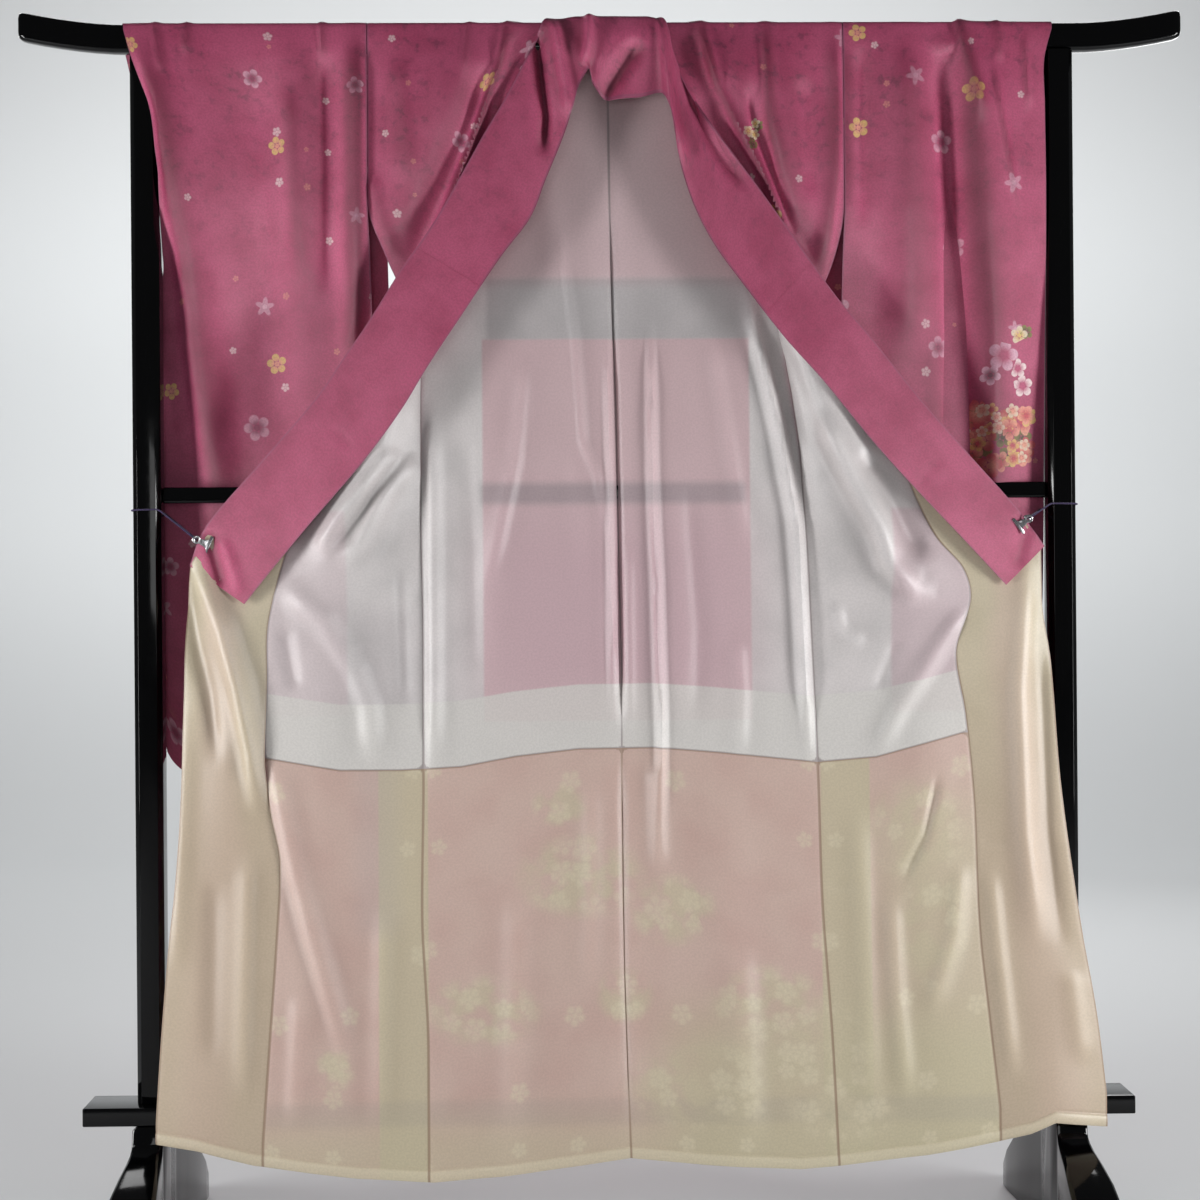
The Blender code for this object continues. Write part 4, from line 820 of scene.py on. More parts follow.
def add_cord(name, route, radius):
    """A closed cord along a route of points in centimetres."""
    route = np.array(route, float)
    ahead = np.roll(route, -1, axis=0) - np.roll(route, 1, axis=0)
    ahead /= np.linalg.norm(ahead, axis=1)[:, None]
    beside = np.cross(ahead, (0, 0, 1.0))
    beside /= np.linalg.norm(beside, axis=1)[:, None]
    above = np.cross(beside, ahead)
    turn = np.linspace(0, 2 * math.pi, 10, endpoint=False)[None, :, None]
    rings = route[:, None] + radius * (
        beside[:, None] * np.cos(turn) + above[:, None] * np.sin(turn)
    )
    return add_loft(name, np.concatenate([rings, rings[:1]]), caps=False)


# ---------------------------------------------------------------- materials

class Value:
    """A number that a node puts out. A sum with it adds a maths node to its tree."""

    def __init__(self, socket):
        self.socket = socket

    def __add__(self, other):
        return maths("ADD", self, other)

    def __sub__(self, other):
        return maths("SUBTRACT", self, other)

    def __rsub__(self, other):
        return maths("SUBTRACT", other, self)

    def __mul__(self, other):
        return maths("MULTIPLY", self, other)

    def __truediv__(self, other):
        return maths("DIVIDE", self, other)


def bare(source):
    """The socket of a value, or the source itself."""
    return source.socket if isinstance(source, Value) else source


def tree_of(*sources):
    """The node tree that the sockets among some sources are in."""
    return next(s for s in map(bare, sources) if isinstance(s, bpy.types.NodeSocket)).id_data


def feed(node, links):
    """Feed a node's inputs, by number or by name, each with a socket to link or a constant."""
    for name, source in links.items():
        source = bare(source)
        if isinstance(source, bpy.types.NodeSocket):
            node.id_data.links.new(source, node.inputs[name])
        else:
            node.inputs[name].default_value = source


def add_node(tree, kind, links, **settings):
    """The outputs of a new node with its settings and what feeds its inputs."""
    node = tree.nodes.new(kind)
    for key, value in settings.items():
        setattr(node, key, value)
    feed(node, links)
    return node.outputs


def maths(operation, first, second=0.0):
    return Value(add_node(tree_of(first, second), "ShaderNodeMath", {0: first, 1: second},
                          operation=operation)[0])


def mix(amount, first, second, blend="MIX"):
    return add_node(tree_of(amount, first, second), "ShaderNodeMix",
                    {0: amount, 6: first, 7: second}, data_type="RGBA", blend_type=blend)[2]


def step_up(value, low, high):
    """A smooth step of a value, from 0 at low to 1 at high."""
    limits = {"Value": value, "From Min": low, "From Max": high}
    return Value(add_node(tree_of(value), "ShaderNodeMapRange", limits,
                          interpolation_type="SMOOTHSTEP")["Result"])


def step_down(value, low, high):
    """A smooth step of a value, from 1 at low to 0 at high."""
    return 1.0 - step_up(value, low, high)


def ranged(value, low, high):
    """A value from 0 to 1 brought between two others."""
    limits = {"Value": value, "To Min": low, "To Max": high}
    return add_node(tree_of(value), "ShaderNodeMapRange", limits)[0]


def noise(vector, scale, detail=3.0, roughness=0.5):
    return Value(add_node(tree_of(vector), "ShaderNodeTexNoise", {
        "Vector": vector, "Scale": scale, "Detail": detail, "Roughness": roughness,
    })[0])


def wave(vector, scale, distortion, detail, direction):
    return Value(add_node(tree_of(vector), "ShaderNodeTexWave", {
        "Vector": vector, "Scale": scale, "Distortion": distortion, "Detail": detail,
    }, bands_direction=direction)["Fac"])


def bump(height, strength, distance):
    return add_node(tree_of(height), "ShaderNodeBump",
                    {"Height": height, "Strength": strength, "Distance": distance})[0]


def vector_maths(operation, first, second):
    return add_node(tree_of(first, second), "ShaderNodeVectorMath", {0: first, 1: second},
                    operation=operation)[0]


def split(vector):
    """The x, y and z of a vector."""
    return [Value(part) for part in add_node(tree_of(vector), "ShaderNodeSeparateXYZ", {0: vector})]


def measured(tree, label):
    """A measure that a mesh carries at its points."""
    return Value(add_node(tree, "ShaderNodeAttribute", {}, attribute_name=label)["Fac"])


def new_material(name, roughness, **settings):
    """A material and its shader, with the constants set on the shader's own sockets."""
    material = bpy.data.materials.new(name)
    material.use_nodes = True
    shader = material.node_tree.nodes["Principled BSDF"]
    feed(shader, {"Roughness": roughness})
    feed(shader, {key.replace("_", " "): value for key, value in settings.items()})
    return material, shader


def object_place(shader):
    """A shader's place in the object's coordinates."""
    return add_node(shader.id_data, "ShaderNodeTexCoord", {})["Object"]


def new_group(name, inputs, outputs):
    """An empty node group, what it is given, and the node that takes its results. An input without
    a default is a vector."""
    tree = bpy.data.node_groups.new(name, "ShaderNodeTree")
    for label, value in inputs.items():
        if value is None:
            tree.interface.new_socket(label, in_out="INPUT", socket_type="NodeSocketVector")
        else:
            socket = tree.interface.new_socket(label, in_out="INPUT", socket_type="NodeSocketFloat")
            socket.default_value = value
    for label in outputs:
        tree.interface.new_socket(label, in_out="OUTPUT", socket_type="NodeSocketFloat")
    sockets = tree.nodes.new("NodeGroupInput").outputs
    given = [sockets[label] if value is None else Value(sockets[label])
             for label, value in inputs.items()]
    return tree, given, tree.nodes.new("NodeGroupOutput")


def add_group(group, links):
    """The outputs of a node group."""
    return add_node(tree_of(*links.values()), "ShaderNodeGroup", links, node_tree=group)


def make_band_group():
    """1 where a value is between two limits, with soft edges."""
    tree, (value, low, high, soft), result = new_group(
        "Band", {"Value": 0.0, "Low": 0.0, "High": 1.0, "Soft": 0.01}, ["Mask"],
    )
    up, down = step_up(value, low - soft, low + soft), step_down(value, high - soft, high + soft)
    feed(result, {"Mask": up * down})
    return tree


def make_blossom_group():
    """One five-petal blossom about the middle of a vector: its petals, its heart, the same size of
    pointed star, and how far the petals' own colour has taken over from the heart's."""
    tree, (vector, size, turned, soft), result = new_group(
        "Blossom", {"Vector": None, "Size": 0.016, "Turn": 0.0, "Soft": 0.08}, BLOSSOM_PARTS,
    )
    x, y, _ = split(vector)
    radius = maths("SQRT", x * x + y * y)
    turn = maths("ARCTAN2", y, x) + turned
    part = maths("PINGPONG", turn, math.pi / 5)
    along, beside = radius * maths("COSINE", part), radius * maths("SINE", part)
    # A petal is a disc of 0.36 of the size, with its middle at 0.62 of it
    off = along - size * 0.62
    off = maths("SQRT", off * off + beside * beside)
    star = size * (maths("COSINE", turn * 5.0) * 0.24 + 0.72)
    outside, inside = soft + 1.0, 1.0 - soft
    feed(result, {
        "Petals": step_up(off / (size * 0.36), outside, inside),
        "Heart": step_up(radius / (size * 0.24), outside, inside),
        "Star": step_up(radius / star, outside, inside),
        "Blush": step_up(radius / size, 0.15, 0.85),
    })
    return tree


def make_blossoms_group():
    """Whole blossoms of varied size and turn, scattered over an ellipse: the same four values."""
    tree, given, result = new_group("Blossoms", {
        "Vector": None, "Cells": 8.0, "Density": 0.5, "Size": 0.016, "Soft": 0.08,
        "Middle X": 0.0, "Middle Y": 0.0, "Wide": EVERYWHERE, "Tall": EVERYWHERE,
    }, BLOSSOM_PARTS)
    vector, cells, density, size, soft, middle_x, middle_y, wide, tall = given
    cell = add_node(tree, "ShaderNodeTexVoronoi", {
        "Vector": vector, "Scale": cells, "Randomness": 0.75,
    }, voronoi_dimensions="2D")
    one, two, three = [Value(part) for part in add_node(
        tree, "ShaderNodeSeparateColor", {0: cell["Color"]},
    )]
    blossom = add_group(BLOSSOM, {
        "Vector": vector_maths("SUBTRACT", vector, cell["Position"]),
        "Size": size * (two * 0.5 + 0.75), "Turn": three * FULL_TURN, "Soft": soft,
    })
    x, y, _ = split(cell["Position"])
    beside, above = (x - middle_x) / wide, (y - middle_y) / tall
    there = maths("LESS_THAN", one, density)
    there *= maths("LESS_THAN", beside * beside + above * above, 1.0)
    feed(result, {label: Value(blossom[label]) * there for label in ("Petals", "Heart", "Star")})
    feed(result, {"Blush": blossom["Blush"]})
    return tree


def make_crepe_group():
    """The height of a silk crepe: fine uneven grain with a faint cross weave."""
    tree, (vector, grain, thread), result = new_group(
        "Crepe", {"Vector": None, "Grain": 700.0, "Thread": 1100.0}, ["Height"],
    )
    weave = [wave(vector, thread, 1.5, 1.0, direction) * 0.25 for direction in "XY"]
    feed(result, {"Height": noise(vector, grain, 2.0, 0.6) + weave[0] + weave[1]})
    return tree


BLOSSOM_PARTS = ["Petals", "Heart", "Star", "Blush"]
# Half the size of a region that takes in all the cloth, in metres
EVERYWHERE = 1000.0
FULL_TURN = 6.283
BAND, CREPE, BLOSSOM = make_band_group(), make_crepe_group(), make_blossom_group()
BLOSSOMS = make_blossoms_group()


def band(value, low, high, soft):
    """1 where a value in metres is between two limits in centimetres, with soft edges."""
    return Value(add_group(BAND, {
        "Value": value, "Low": low * CM, "High": high * CM, "Soft": soft * CM,
    })["Mask"])


def places(tree):
    """x and drop in metres from the object's coordinates, and the cloth's own UV."""
    coordinates = add_node(tree, "ShaderNodeTexCoord", {})
    x, _, z = split(coordinates["Object"])
    return x, RAIL_TOP * CM - z, coordinates["UV"]


def finish_silk(shader, colour, uv, strength, grain, seam_shade, grain_shade, painted_hollow_shade):
    """Link a cloth's colour with its darker seams, painted shade in its hollows and a painted
    highlight on its ridges, and its crepe with a bump.
    """
    height = Value(add_group(CREPE, {"Vector": uv, "Grain": grain})["Height"])
    shade = step_up(noise(uv, 330.0, 3.0, 0.6), 0.36, 0.64)
    colour = mix(1.0, colour, mix(shade, grain_shade, (1.04, 1.04, 1.04, 1)), "MULTIPLY")
    # Painted shade in the hollows and a painted highlight on the ridges, by how far the cloth lies
    # back
    hollow = step_up(measured(shader.id_data, "hollow"), -0.006, 0.009)
    colour = mix(1.0, colour, mix(hollow, (1.12, 1.12, 1.12, 1), painted_hollow_shade), "MULTIPLY")
    seam = measured(shader.id_data, "seam")
    colour = mix(step_down(seam, 0.0011, 0.003) * 0.8, colour, seam_shade)
    # Small puckers run out from the stitches
    pucker = noise(vector_maths("MULTIPLY", uv, (25.0, 150.0, 1.0)), 1.0, 2.0)
    height += pucker * step_down(seam, 0.001, 0.02) * 3.0
    feed(shader, {"Base Color": colour, "Normal": bump(height, strength, 0.0004)})


def rgb(red, green, blue):
    """A colour given as it looks, 0 to 255, as the linear values that a node takes."""
    return tuple((c / 255) ** 2.2 for c in (red, green, blue)) + (1,)


PINK, DEEP_PINK, SMOKE = rgb(194, 86, 123), rgb(172, 66, 102), rgb(112, 54, 78)
MAUVE, GOLD, WHITE = rgb(232, 190, 206), rgb(232, 200, 120), rgb(248, 232, 228)
PEACH, RED, CREAM = rgb(236, 164, 140), rgb(206, 84, 92), rgb(232, 220, 190)
LEAF, DARK_LEAF = rgb(128, 132, 66), rgb(70, 78, 40)


def print_blossoms(colour, uv, cells, density, size, petal, heart, amount, where=None, shift=0.0,
                   soft=0.08, shape="Petals", region=(0.0, 0.0, EVERYWHERE, EVERYWHERE)):
    """Scattered blossoms of one kind laid over a colour, blushing from the heart outwards. They
    keep to a mask, or whole to a region of the cloth: its middle, half width and half height."""
    shift = (shift, shift * 1.7, 0)
    group = add_group(BLOSSOMS, {
        "Vector": vector_maths("ADD", uv, shift), "Cells": cells, "Density": density,
        "Size": size, "Soft": soft, "Middle X": region[0] + shift[0],
        "Middle Y": region[1] + shift[1], "Wide": region[2], "Tall": region[3],
    })
    petals, hearts = Value(group[shape]), Value(group["Heart"])
    if where is not None:
        petals, hearts = petals * where, hearts * where
    colour = mix(petals * amount, colour, mix(group["Blush"], heart, petal))
    return mix(hearts * amount, colour, heart)


# Where each piece lies on the printed cloth, in metres, so that no two carry the same blossoms
PRINT_STARTS = {
    ("body", "R"): (0.0, 0.0), ("body", "L"): (4.1, 2.3), ("okumi", "R"): (2.2, 5.1),
    ("okumi", "L"): (3.2, 6.4), ("sleeve", "R"): (0.4, 0.2), ("sleeve", "L"): (1.7, 0.2),
}
# Blossoms all over: cells a metre, density, radius, petal colour, heart colour, amount, shift,
# softness and shape
PRINT = [
    (7.0, 0.34, 0.017, MAUVE, SMOKE, 0.6, 0.31, 0.2, "Petals"),
    (6.0, 0.22, 0.016, GOLD, PEACH, 0.85, 1.13, 0.15, "Petals"),
    (6.5, 0.16, 0.014, MAUVE, MAUVE, 0.5, 8.21, 0.15, "Star"),
    (14.0, 0.24, 0.0062, WHITE, WHITE, 0.6, 2.47, 0.5, "Petals"),
    (26.0, 0.08, 0.0045, PEACH, PEACH, 0.5, 3.7, 0.5, "Petals"),
]
# Blossoms near the hem: cells a metre, radius, petal colour, heart colour and shift
HEM_PRINT = [
    (13.0, 0.026, WHITE, GOLD, 4.2), (12.0, 0.024, PEACH, RED, 5.9), (16.0, 0.018, GOLD, LEAF, 6.6),
]
# Clusters of flowers: the middle on the cloth, the half width and half height, then the layers,
# each of cells a metre, density, radius, petal colour and heart colour
SPRIG = [
    (4.249, 3.825, 0.011, 0.020, (
        (62.0, 1.0, 0.009, LEAF, DARK_LEAF), (54.0, 1.0, 0.009, CREAM, GOLD),
    )),
]
BOUQUET = [
    (1.955, 0.778, 0.036, 0.034, (
        (22.0, 0.9, 0.021, MAUVE, PINK), (26.0, 0.7, 0.017, MAUVE, SMOKE),
        (30.0, 0.5, 0.014, WHITE, PINK),
    )),
    (1.975, 0.839, 0.016, 0.016, (
        (50.0, 1.0, 0.011, LEAF, DARK_LEAF), (34.0, 1.0, 0.016, CREAM, GOLD),
    )),
    (1.936, 0.682, 0.054, 0.050, (
        (31.0, 0.9, 0.018, LEAF, DARK_LEAF), (27.0, 0.9, 0.020, PEACH, RED),
        (30.0, 0.7, 0.018, RED, PEACH), (38.0, 0.6, 0.013, GOLD, RED),
        (35.0, 0.5, 0.014, PEACH, RED), (47.0, 0.45, 0.010, CREAM, PEACH),
    )),
]


def ellipse(x, down, middle_x, middle_down, wide, tall):
    """1 inside an ellipse given in cm, fading out about its edge."""
    across, along = (x - middle_x * CM) / (wide * CM), (down - middle_down * CM) / (tall * CM)
    return step_down(across * across + along * along, 0.3, 1.3)


def make_outer_silk(name, printed, clusters=()):
    """Pink crepe silk with a smoky mottle, and blossoms scattered over it."""
    material, shader = new_material(
        name, 0.44, Specular_IOR_Level=0.8, Sheen_Weight=0.1, Sheen_Roughness=0.4,
        Sheen_Tint=(1.0, 0.8, 0.88, 1),
    )
    _, drop, uv = places(shader.id_data)
    broad, fine = noise(uv, 9.0, 4.0, 0.6), noise(uv, 60.0, 4.0, 0.65)
    colour = mix(step_up(broad, 0.35, 0.7), PINK, DEEP_PINK)
    smoke = step_up(fine, 0.5, 0.66) * step_up(broad, 0.38, 0.6)
    colour = mix(smoke * (step_down(drop, 0.02, 0.45) * 0.5 + 0.12), colour, SMOKE)
    if printed:
        colour = mix(step_up(drop + broad * 0.3, 1.45, 1.85) * 0.8, colour, CREAM)
        for cells, density, size, petal, heart, amount, shift, soft, shape in PRINT:
            colour = print_blossoms(colour, uv, cells, density, size, petal, heart, amount, None,
                                    shift, soft, shape)
        low = step_up(drop + broad * 0.5, 1.25, 1.5)
        for cells, size, petal, heart, shift in HEM_PRINT:
            colour = print_blossoms(colour, uv, cells, 0.5, size, petal, heart, 0.9, low, shift)
    for k, (*region, layers) in enumerate(clusters):
        for n, (cells, density, size, petal, heart) in enumerate(layers):
            colour = print_blossoms(colour, uv, cells, density, size, petal, heart, 0.9, None,
                                    7.3 + k * 2.11 + n * 1.37, 0.12, "Petals", region)
    # The last colour is the painted shade in the hollows
    finish_silk(shader, colour, uv, 0.55, 480.0, rgb(156, 80, 110), (0.86, 0.84, 0.85, 1),
                (0.55, 0.40, 0.46, 1))
    return material


def tinted(colour, x, down, tints):
    """Soft-edged areas of other colours: colour, x limits, limits down, softness and amount."""
    for shade, across, along, soft, amount in tints:
        colour = mix(band(x, *across, soft) * band(down, *along, soft) * amount, colour, shade)
    return colour


UPPER_WHITE, UPPER_PINK, UPPER_GREY = rgb(210, 204, 203), rgb(200, 168, 172), rgb(170, 162, 164)
# The last colour on the next line is the grey of painted shade, for bands of shade seen through the
# silk
UPPER_MAUVE, ALLOWANCE, PAINTED_SHADE_GREY = rgb(190, 158, 166), rgb(208, 205, 200), rgb(132, 126, 130)
SKIRT_PINK, SKIRT_CREAM, SKIRT_PALE = rgb(200, 174, 163), rgb(190, 181, 152), rgb(212, 202, 176)
GHOST, GHOST_PALE = rgb(194, 183, 156), rgb(210, 200, 174)

UPPER_TINTS = [
    (UPPER_PINK, (-30, 30), (-5, 37), 1.5, 0.75),
    # Painted shade: a grey band across the middle of the lining
    (PAINTED_SHADE_GREY, (-17, 21), (36.5, 45.5), 0.6, 0.4),
    (UPPER_PINK, (-17.7, 20.6), (45.3, 100), 0.25, 0.85),
    (UPPER_MAUVE, (-17.7, 20.6), (70, 99), 9, 0.6),
    # Painted shadow of the middle rail, seen through the silk
    (PAINTED_SHADE_GREY, (-18, 20), (66, 69), 0.8, 0.55),
    (UPPER_MAUVE, (-52, -37), (70, 99), 0.4, 0.3),
    (UPPER_MAUVE, (40.5, 54), (70, 99), 0.4, 0.5),
    (UPPER_GREY, (-36.5, -27), (84, 99), 2.5, 0.35),
]
SKIRT_TINTS = [
    (SKIRT_CREAM, (-32.8, -25.8), (100, 170), 0.15, 0.8),
    (SKIRT_CREAM, (30.2, 37.2), (100, 170), 0.15, 0.8),
    (SKIRT_CREAM, (37, 80), (112, 175), 8, 0.7),
    (SKIRT_CREAM, (8, 80), (142, 175), 7, 0.8),
    (SKIRT_CREAM, (-60, 80), (156, 175), 5, 0.6),
    (UPPER_GREY, (-36, -30), (105, 130), 2, 0.2),
    # Painted shadow of the low board, seen through the silk
    (PAINTED_SHADE_GREY, (-50, 70), (153.5, 157), 0.8, 0.16),
]
# Blurred blossoms that show through the lower lining: middle x and drop, half width, half height
GHOSTS = [
    (-4, 122, 9, 6), (9, 127, 6, 5), (22, 140, 8, 5), (28, 147, 9, 7), (44, 116, 7, 7),
    (-18, 141, 8, 5), (46, 130, 5, 9), (2, 139, 4, 4), (-39, 149, 3, 3), (14, 152, 12, 6),
    (-7, 112, 4, 3), (33, 155, 8, 5),
]


def new_lining(name, roughness):
    return new_material(name, roughness, Specular_IOR_Level=0.8, Sheen_Weight=0.08,
                        Sheen_Roughness=0.35)


def finish_lining(shader, colour, uv, seam_shade, painted_hollow_shade):
    finish_silk(shader, colour, uv, 0.25, 620.0, seam_shade, (0.95, 0.95, 0.95, 1), painted_hollow_shade)


def make_upper_lining():
    """Thin white lining silk, with what lies behind it showing through as faint areas, and grey bands
    of painted shade, one of them the middle rail's painted shadow.
    """
    material, shader = new_lining("silk_lining_white", 0.34)
    x, drop, uv = places(shader.id_data)
    colour = mix(step_up(noise(uv, 14.0), 0.3, 0.75), UPPER_WHITE, rgb(198, 193, 192))
    colour = tinted(colour, x, drop, UPPER_TINTS)
    # Above the seam across the lining is the seam allowance of its lower part
    colour = mix(band(split(uv)[1], -9.3, 20, 0.15) * 0.8, colour, ALLOWANCE)
    finish_lining(shader, colour, uv, rgb(140, 128, 128), (0.80, 0.79, 0.79, 1))
    return material


def make_skirt_lining(name, okumi):
    """Thin cream lining silk, pinkish where the outer silk shows through it, with the low board's
    painted shadow across it, and on the inner front strips painted shade darker towards the hem.
    """
    material, shader = new_lining(name, 0.35)
    x, drop, uv = places(shader.id_data)
    broad = noise(uv, 12.0)
    if okumi:
        colour = mix(step_up(broad, 0.1, 1.1), rgb(204, 192, 168), rgb(186, 175, 148))
        colour = mix(band(split(uv)[0], 4.5, 10.5, 2) * 0.45, colour, SKIRT_PINK)
        # Painted shade: darker towards the hem, where less light falls
        colour = mix(step_up(drop, 0.85, 1.2) * 0.6, colour, rgb(180, 158, 138))
    else:
        colour = mix(step_up(broad, 0.3, 0.75), SKIRT_PINK, rgb(194, 164, 154))
        colour = tinted(colour, x, drop, SKIRT_TINTS)
        where, *others = [ellipse(x, drop, *ghost) for ghost in GHOSTS]
        for spot in others:
            where = maths("MAXIMUM", where, spot)
        patch = where * step_up(noise(uv, 26.0, 2.0), 0.36, 0.6)
        colour = mix(patch * 0.75, colour, GHOST)
        for cells, density, size, area, shift in (
            (24.0, 0.8, 0.0165, where, 0.4), (9.0, 0.5, 0.015, None, 1.9),
        ):
            colour = print_blossoms(colour, uv, cells, density, size, GHOST_PALE, GHOST_PALE, 0.5,
                                    area, shift, 0.65)
    roll = step_down(measured(shader.id_data, "hem"), 0.014, 0.018)
    colour = mix(roll * 0.55, colour, SKIRT_PALE)
    finish_lining(shader, colour, uv, rgb(146, 120, 100), (0.80, 0.78, 0.77, 1))
    return material


def make_lacquer():
    """Black gloss lacquer with the faintest dust and orange peel."""
    material, shader = new_material(
        "black_gloss_lacquer", 0.1, Coat_Weight=0.12, Coat_Roughness=0.05,
        Base_Color=(0.0008, 0.0008, 0.001, 1), Specular_IOR_Level=0.22,
    )
    place = object_place(shader)
    dust = step_up(noise(place, 30.0, 5.0, 0.7), 0.4, 0.8)
    feed(shader, {"Roughness": ranged(dust, 0.07, 0.14),
                  "Normal": bump(noise(place, 90.0, 2.0), 0.04, 0.0005)})
    return material


def make_steel():
    """Bright plated steel with fine scratches."""
    material, shader = new_material("bright_steel", 0.22, Metallic=1.0)
    grain = noise(object_place(shader), 600.0)
    feed(shader, {"Base Color": mix(grain, rgb(214, 214, 216), rgb(180, 180, 184)),
                  "Roughness": ranged(grain, 0.16, 0.34)})
    return material


def make_cord():
    """Dark purple braided cord."""
    material, shader = new_material("braided_cord", 0.75, Sheen_Weight=0.3)
    braid = wave(object_place(shader), 260.0, 3.0, 2.0, "DIAGONAL")
    feed(shader, {"Base Color": mix(braid, rgb(24, 14, 44), rgb(58, 36, 92)),
                  "Normal": bump(braid, 0.5, 0.0004)})
    return material


def make_pale():
    """Plain pale paint for the floor and the wall, with painted shade: a little darker high up and
    low down.
    """
    material, shader = new_material("pale_paint", 0.9)
    # Painted shade: darker low down and high up, where less light falls
    height, dim = split(object_place(shader))[2], rgb(206, 208, 209)
    colour = mix(step_up(height, 0.0, 1.4), dim, rgb(238, 241, 242))
    feed(shader, {"Base Color": mix(step_up(height, 2.2, 3.8), colour, dim)})
    return material


silk = make_outer_silk("silk_pink_printed", True)
silk_sprig = make_outer_silk("silk_pink_sprig", True, SPRIG)
silk_bouquet = make_outer_silk("silk_pink_bouquet", True, BOUQUET)
silk_collar = make_outer_silk("silk_pink_collar", False)
lining = make_upper_lining()
skirt = make_skirt_lining("silk_lining_cream", False)
skirt_okumi = make_skirt_lining("silk_lining_okumi", True)
lacquer, steel, cord = make_lacquer(), make_steel(), make_cord()

# ---------------------------------------------------------------- the kimono

LABELS = (("R", "right"), ("L", "left"))
# The silk of each piece, where it isn't the plain print
PATTERNED = {"body_left": silk_sprig, "sleeve_left": silk_bouquet}
# The panels on each side: their points, and the flat size, supports and any area of their sheets
PANELS = (
    ("body", body_grid, (0.31, 3.34), ["top_rail", "mid_rail"], {}),
    ("okumi", okumi_grid, (0.155, 1.15), ["body_silk_{}"], {"area": 0.155}),
    ("sleeve", sleeve_grid, (0.34, 2.18), ["top_rail"], {}),
)
# The linings of a body panel, with their flat sizes
LININGS = (
    ("front", "upper", (0.26, 0.59)), ("front", "lower", (0.25, 0.61)),
    ("back", "upper", (0.31, 1.04)), ("back", "lower", (0.30, 0.61)),
)
# The drop at which a front's upper lining comes out from under the collar
UPPER_TOP = {"R": 48, "L": 41}


def body_linings(side, label, body, front_end, back_start):
    """The linings that lie on a body panel, which ends in front and starts behind at given rows."""
    drops = drops_between(HANG_TOP, HEM_DROP)
    lined = moved_out(body, BETWEEN)
    halves = {"front": lined[:front_end][::-1], "back": lined[back_start:]}
    seam = int(np.argmin(abs(drops - LINING_SEAM_DROP)))
    tops = {"front": int(np.argmin(abs(drops - UPPER_TOP[side]))), "back": 0}
    for half, part, flat in LININGS:
        if part == "upper":
            points = halves[half][tops[half]: seam + 1]
            # Along the cloth the UV is 0 at the seam across the lining
            length = np.linalg.norm(np.diff(points, axis=0), axis=2).mean(axis=1).sum()
            looks, start, ends = (lining, "white_lining"), -length, "last"
        else:
            points = rolled(fine_hem(halves[half][seam:]))
            looks, start, ends = (skirt, "cream_lining"), 0.0, "first"
        piece = add_cloth(f"lining_{half}_{part}_{label}", sewn(points), LINING, *looks,
                          f"{part}_{half}_lining_{label}", (0.0, start), ends)


for side, label in LABELS:
    grids = {}
    for part, make_grid, flat, supports, area in PANELS:
        grids[part] = make_grid(side)
        points = grids[part][0] if part == "body" else grids[part]
        node = f"{part}_{label}"
        piece = add_cloth(f"{part}_silk_{label}", points, OUTER, PATTERNED.get(node, silk),
                          "pink_silk", node, PRINT_STARTS[part, side])
    body_linings(side, label, *grids["body"])
    points = sewn(rolled(fine_hem(moved_out(grids["okumi"], BETWEEN)[:-2][::-1])))
    piece = add_cloth(f"lining_okumi_{label}", points, LINING, skirt_okumi, "cream_lining",
                      f"okumi_lining_{label}")

COLLAR_END = len(COLLAR) - 1
piece = add_cloth("collar_silk", collar_grid(0, COLLAR_END), COLLAR_SHELL, silk_collar, "pink_silk",
                  "collar")


# The collar's rows between which its cover comes to the neck and leaves it
NECK_IN, NECK_OUT = (12, 14), (20.5, 22.5)


def over_collar_grid():
    """The cover's sheet: out from the collar, and up and forward where the neck turns sharply."""
    first, end = OVER_COLLAR_ROWS
    collar = collar_grid(first, end)
    points = moved_out(collar, OVER_COLLAR_OFF)
    up = collar + np.array([0, -0.9, 0.9]) * OVER_COLLAR_OFF * CM
    at = np.linspace(first, end, len(collar))
    neck = (smooth(*NECK_IN, at) * fade(*NECK_OUT, at))[:, None, None]
    return inset(points + (up - points) * neck, 0.1)


piece = add_cloth("over_collar_silk", over_collar_grid(), OUTER, silk_collar, "pink_silk",
                  "over_collar")

# ---------------------------------------------------------------- the stand


def lacquered(piece, node):
    finish_piece(piece, lacquer, node)


# How much narrower the rail is at its rounded ends, by x
RAIL_ENDS = {RAIL_HALF_LENGTH: 0.45, 83.35: 0.2, 83: 0.05}

rings = []
ends = list(RAIL_ENDS)
for x in [-end for end in ends] + list(np.linspace(-82.5, 82.5, 67)) + ends[::-1]:
    out = max(0.0, abs(x) - RAIL_UPTURN_FROM) / (RAIL_HALF_LENGTH - RAIL_UPTURN_FROM)
    shrink = RAIL_ENDS.get(abs(x), 0.0)
    ring = rounded_ring(RAIL_DEEP / 2 - shrink, RAIL_TALL / 2 - shrink, 0.75)
    middle = RAIL_TOP - RAIL_TALL / 2 + RAIL_UPTURN * out ** 1.7
    rings.append([(x, y, middle + z) for y, z in ring])
lacquered(add_loft("top_rail_lacquer", rings), "top_rail")

# How high a foot is arched, and its chamfer
FOOT_ARCH, FOOT_CHAMFER = 1.2, 0.5
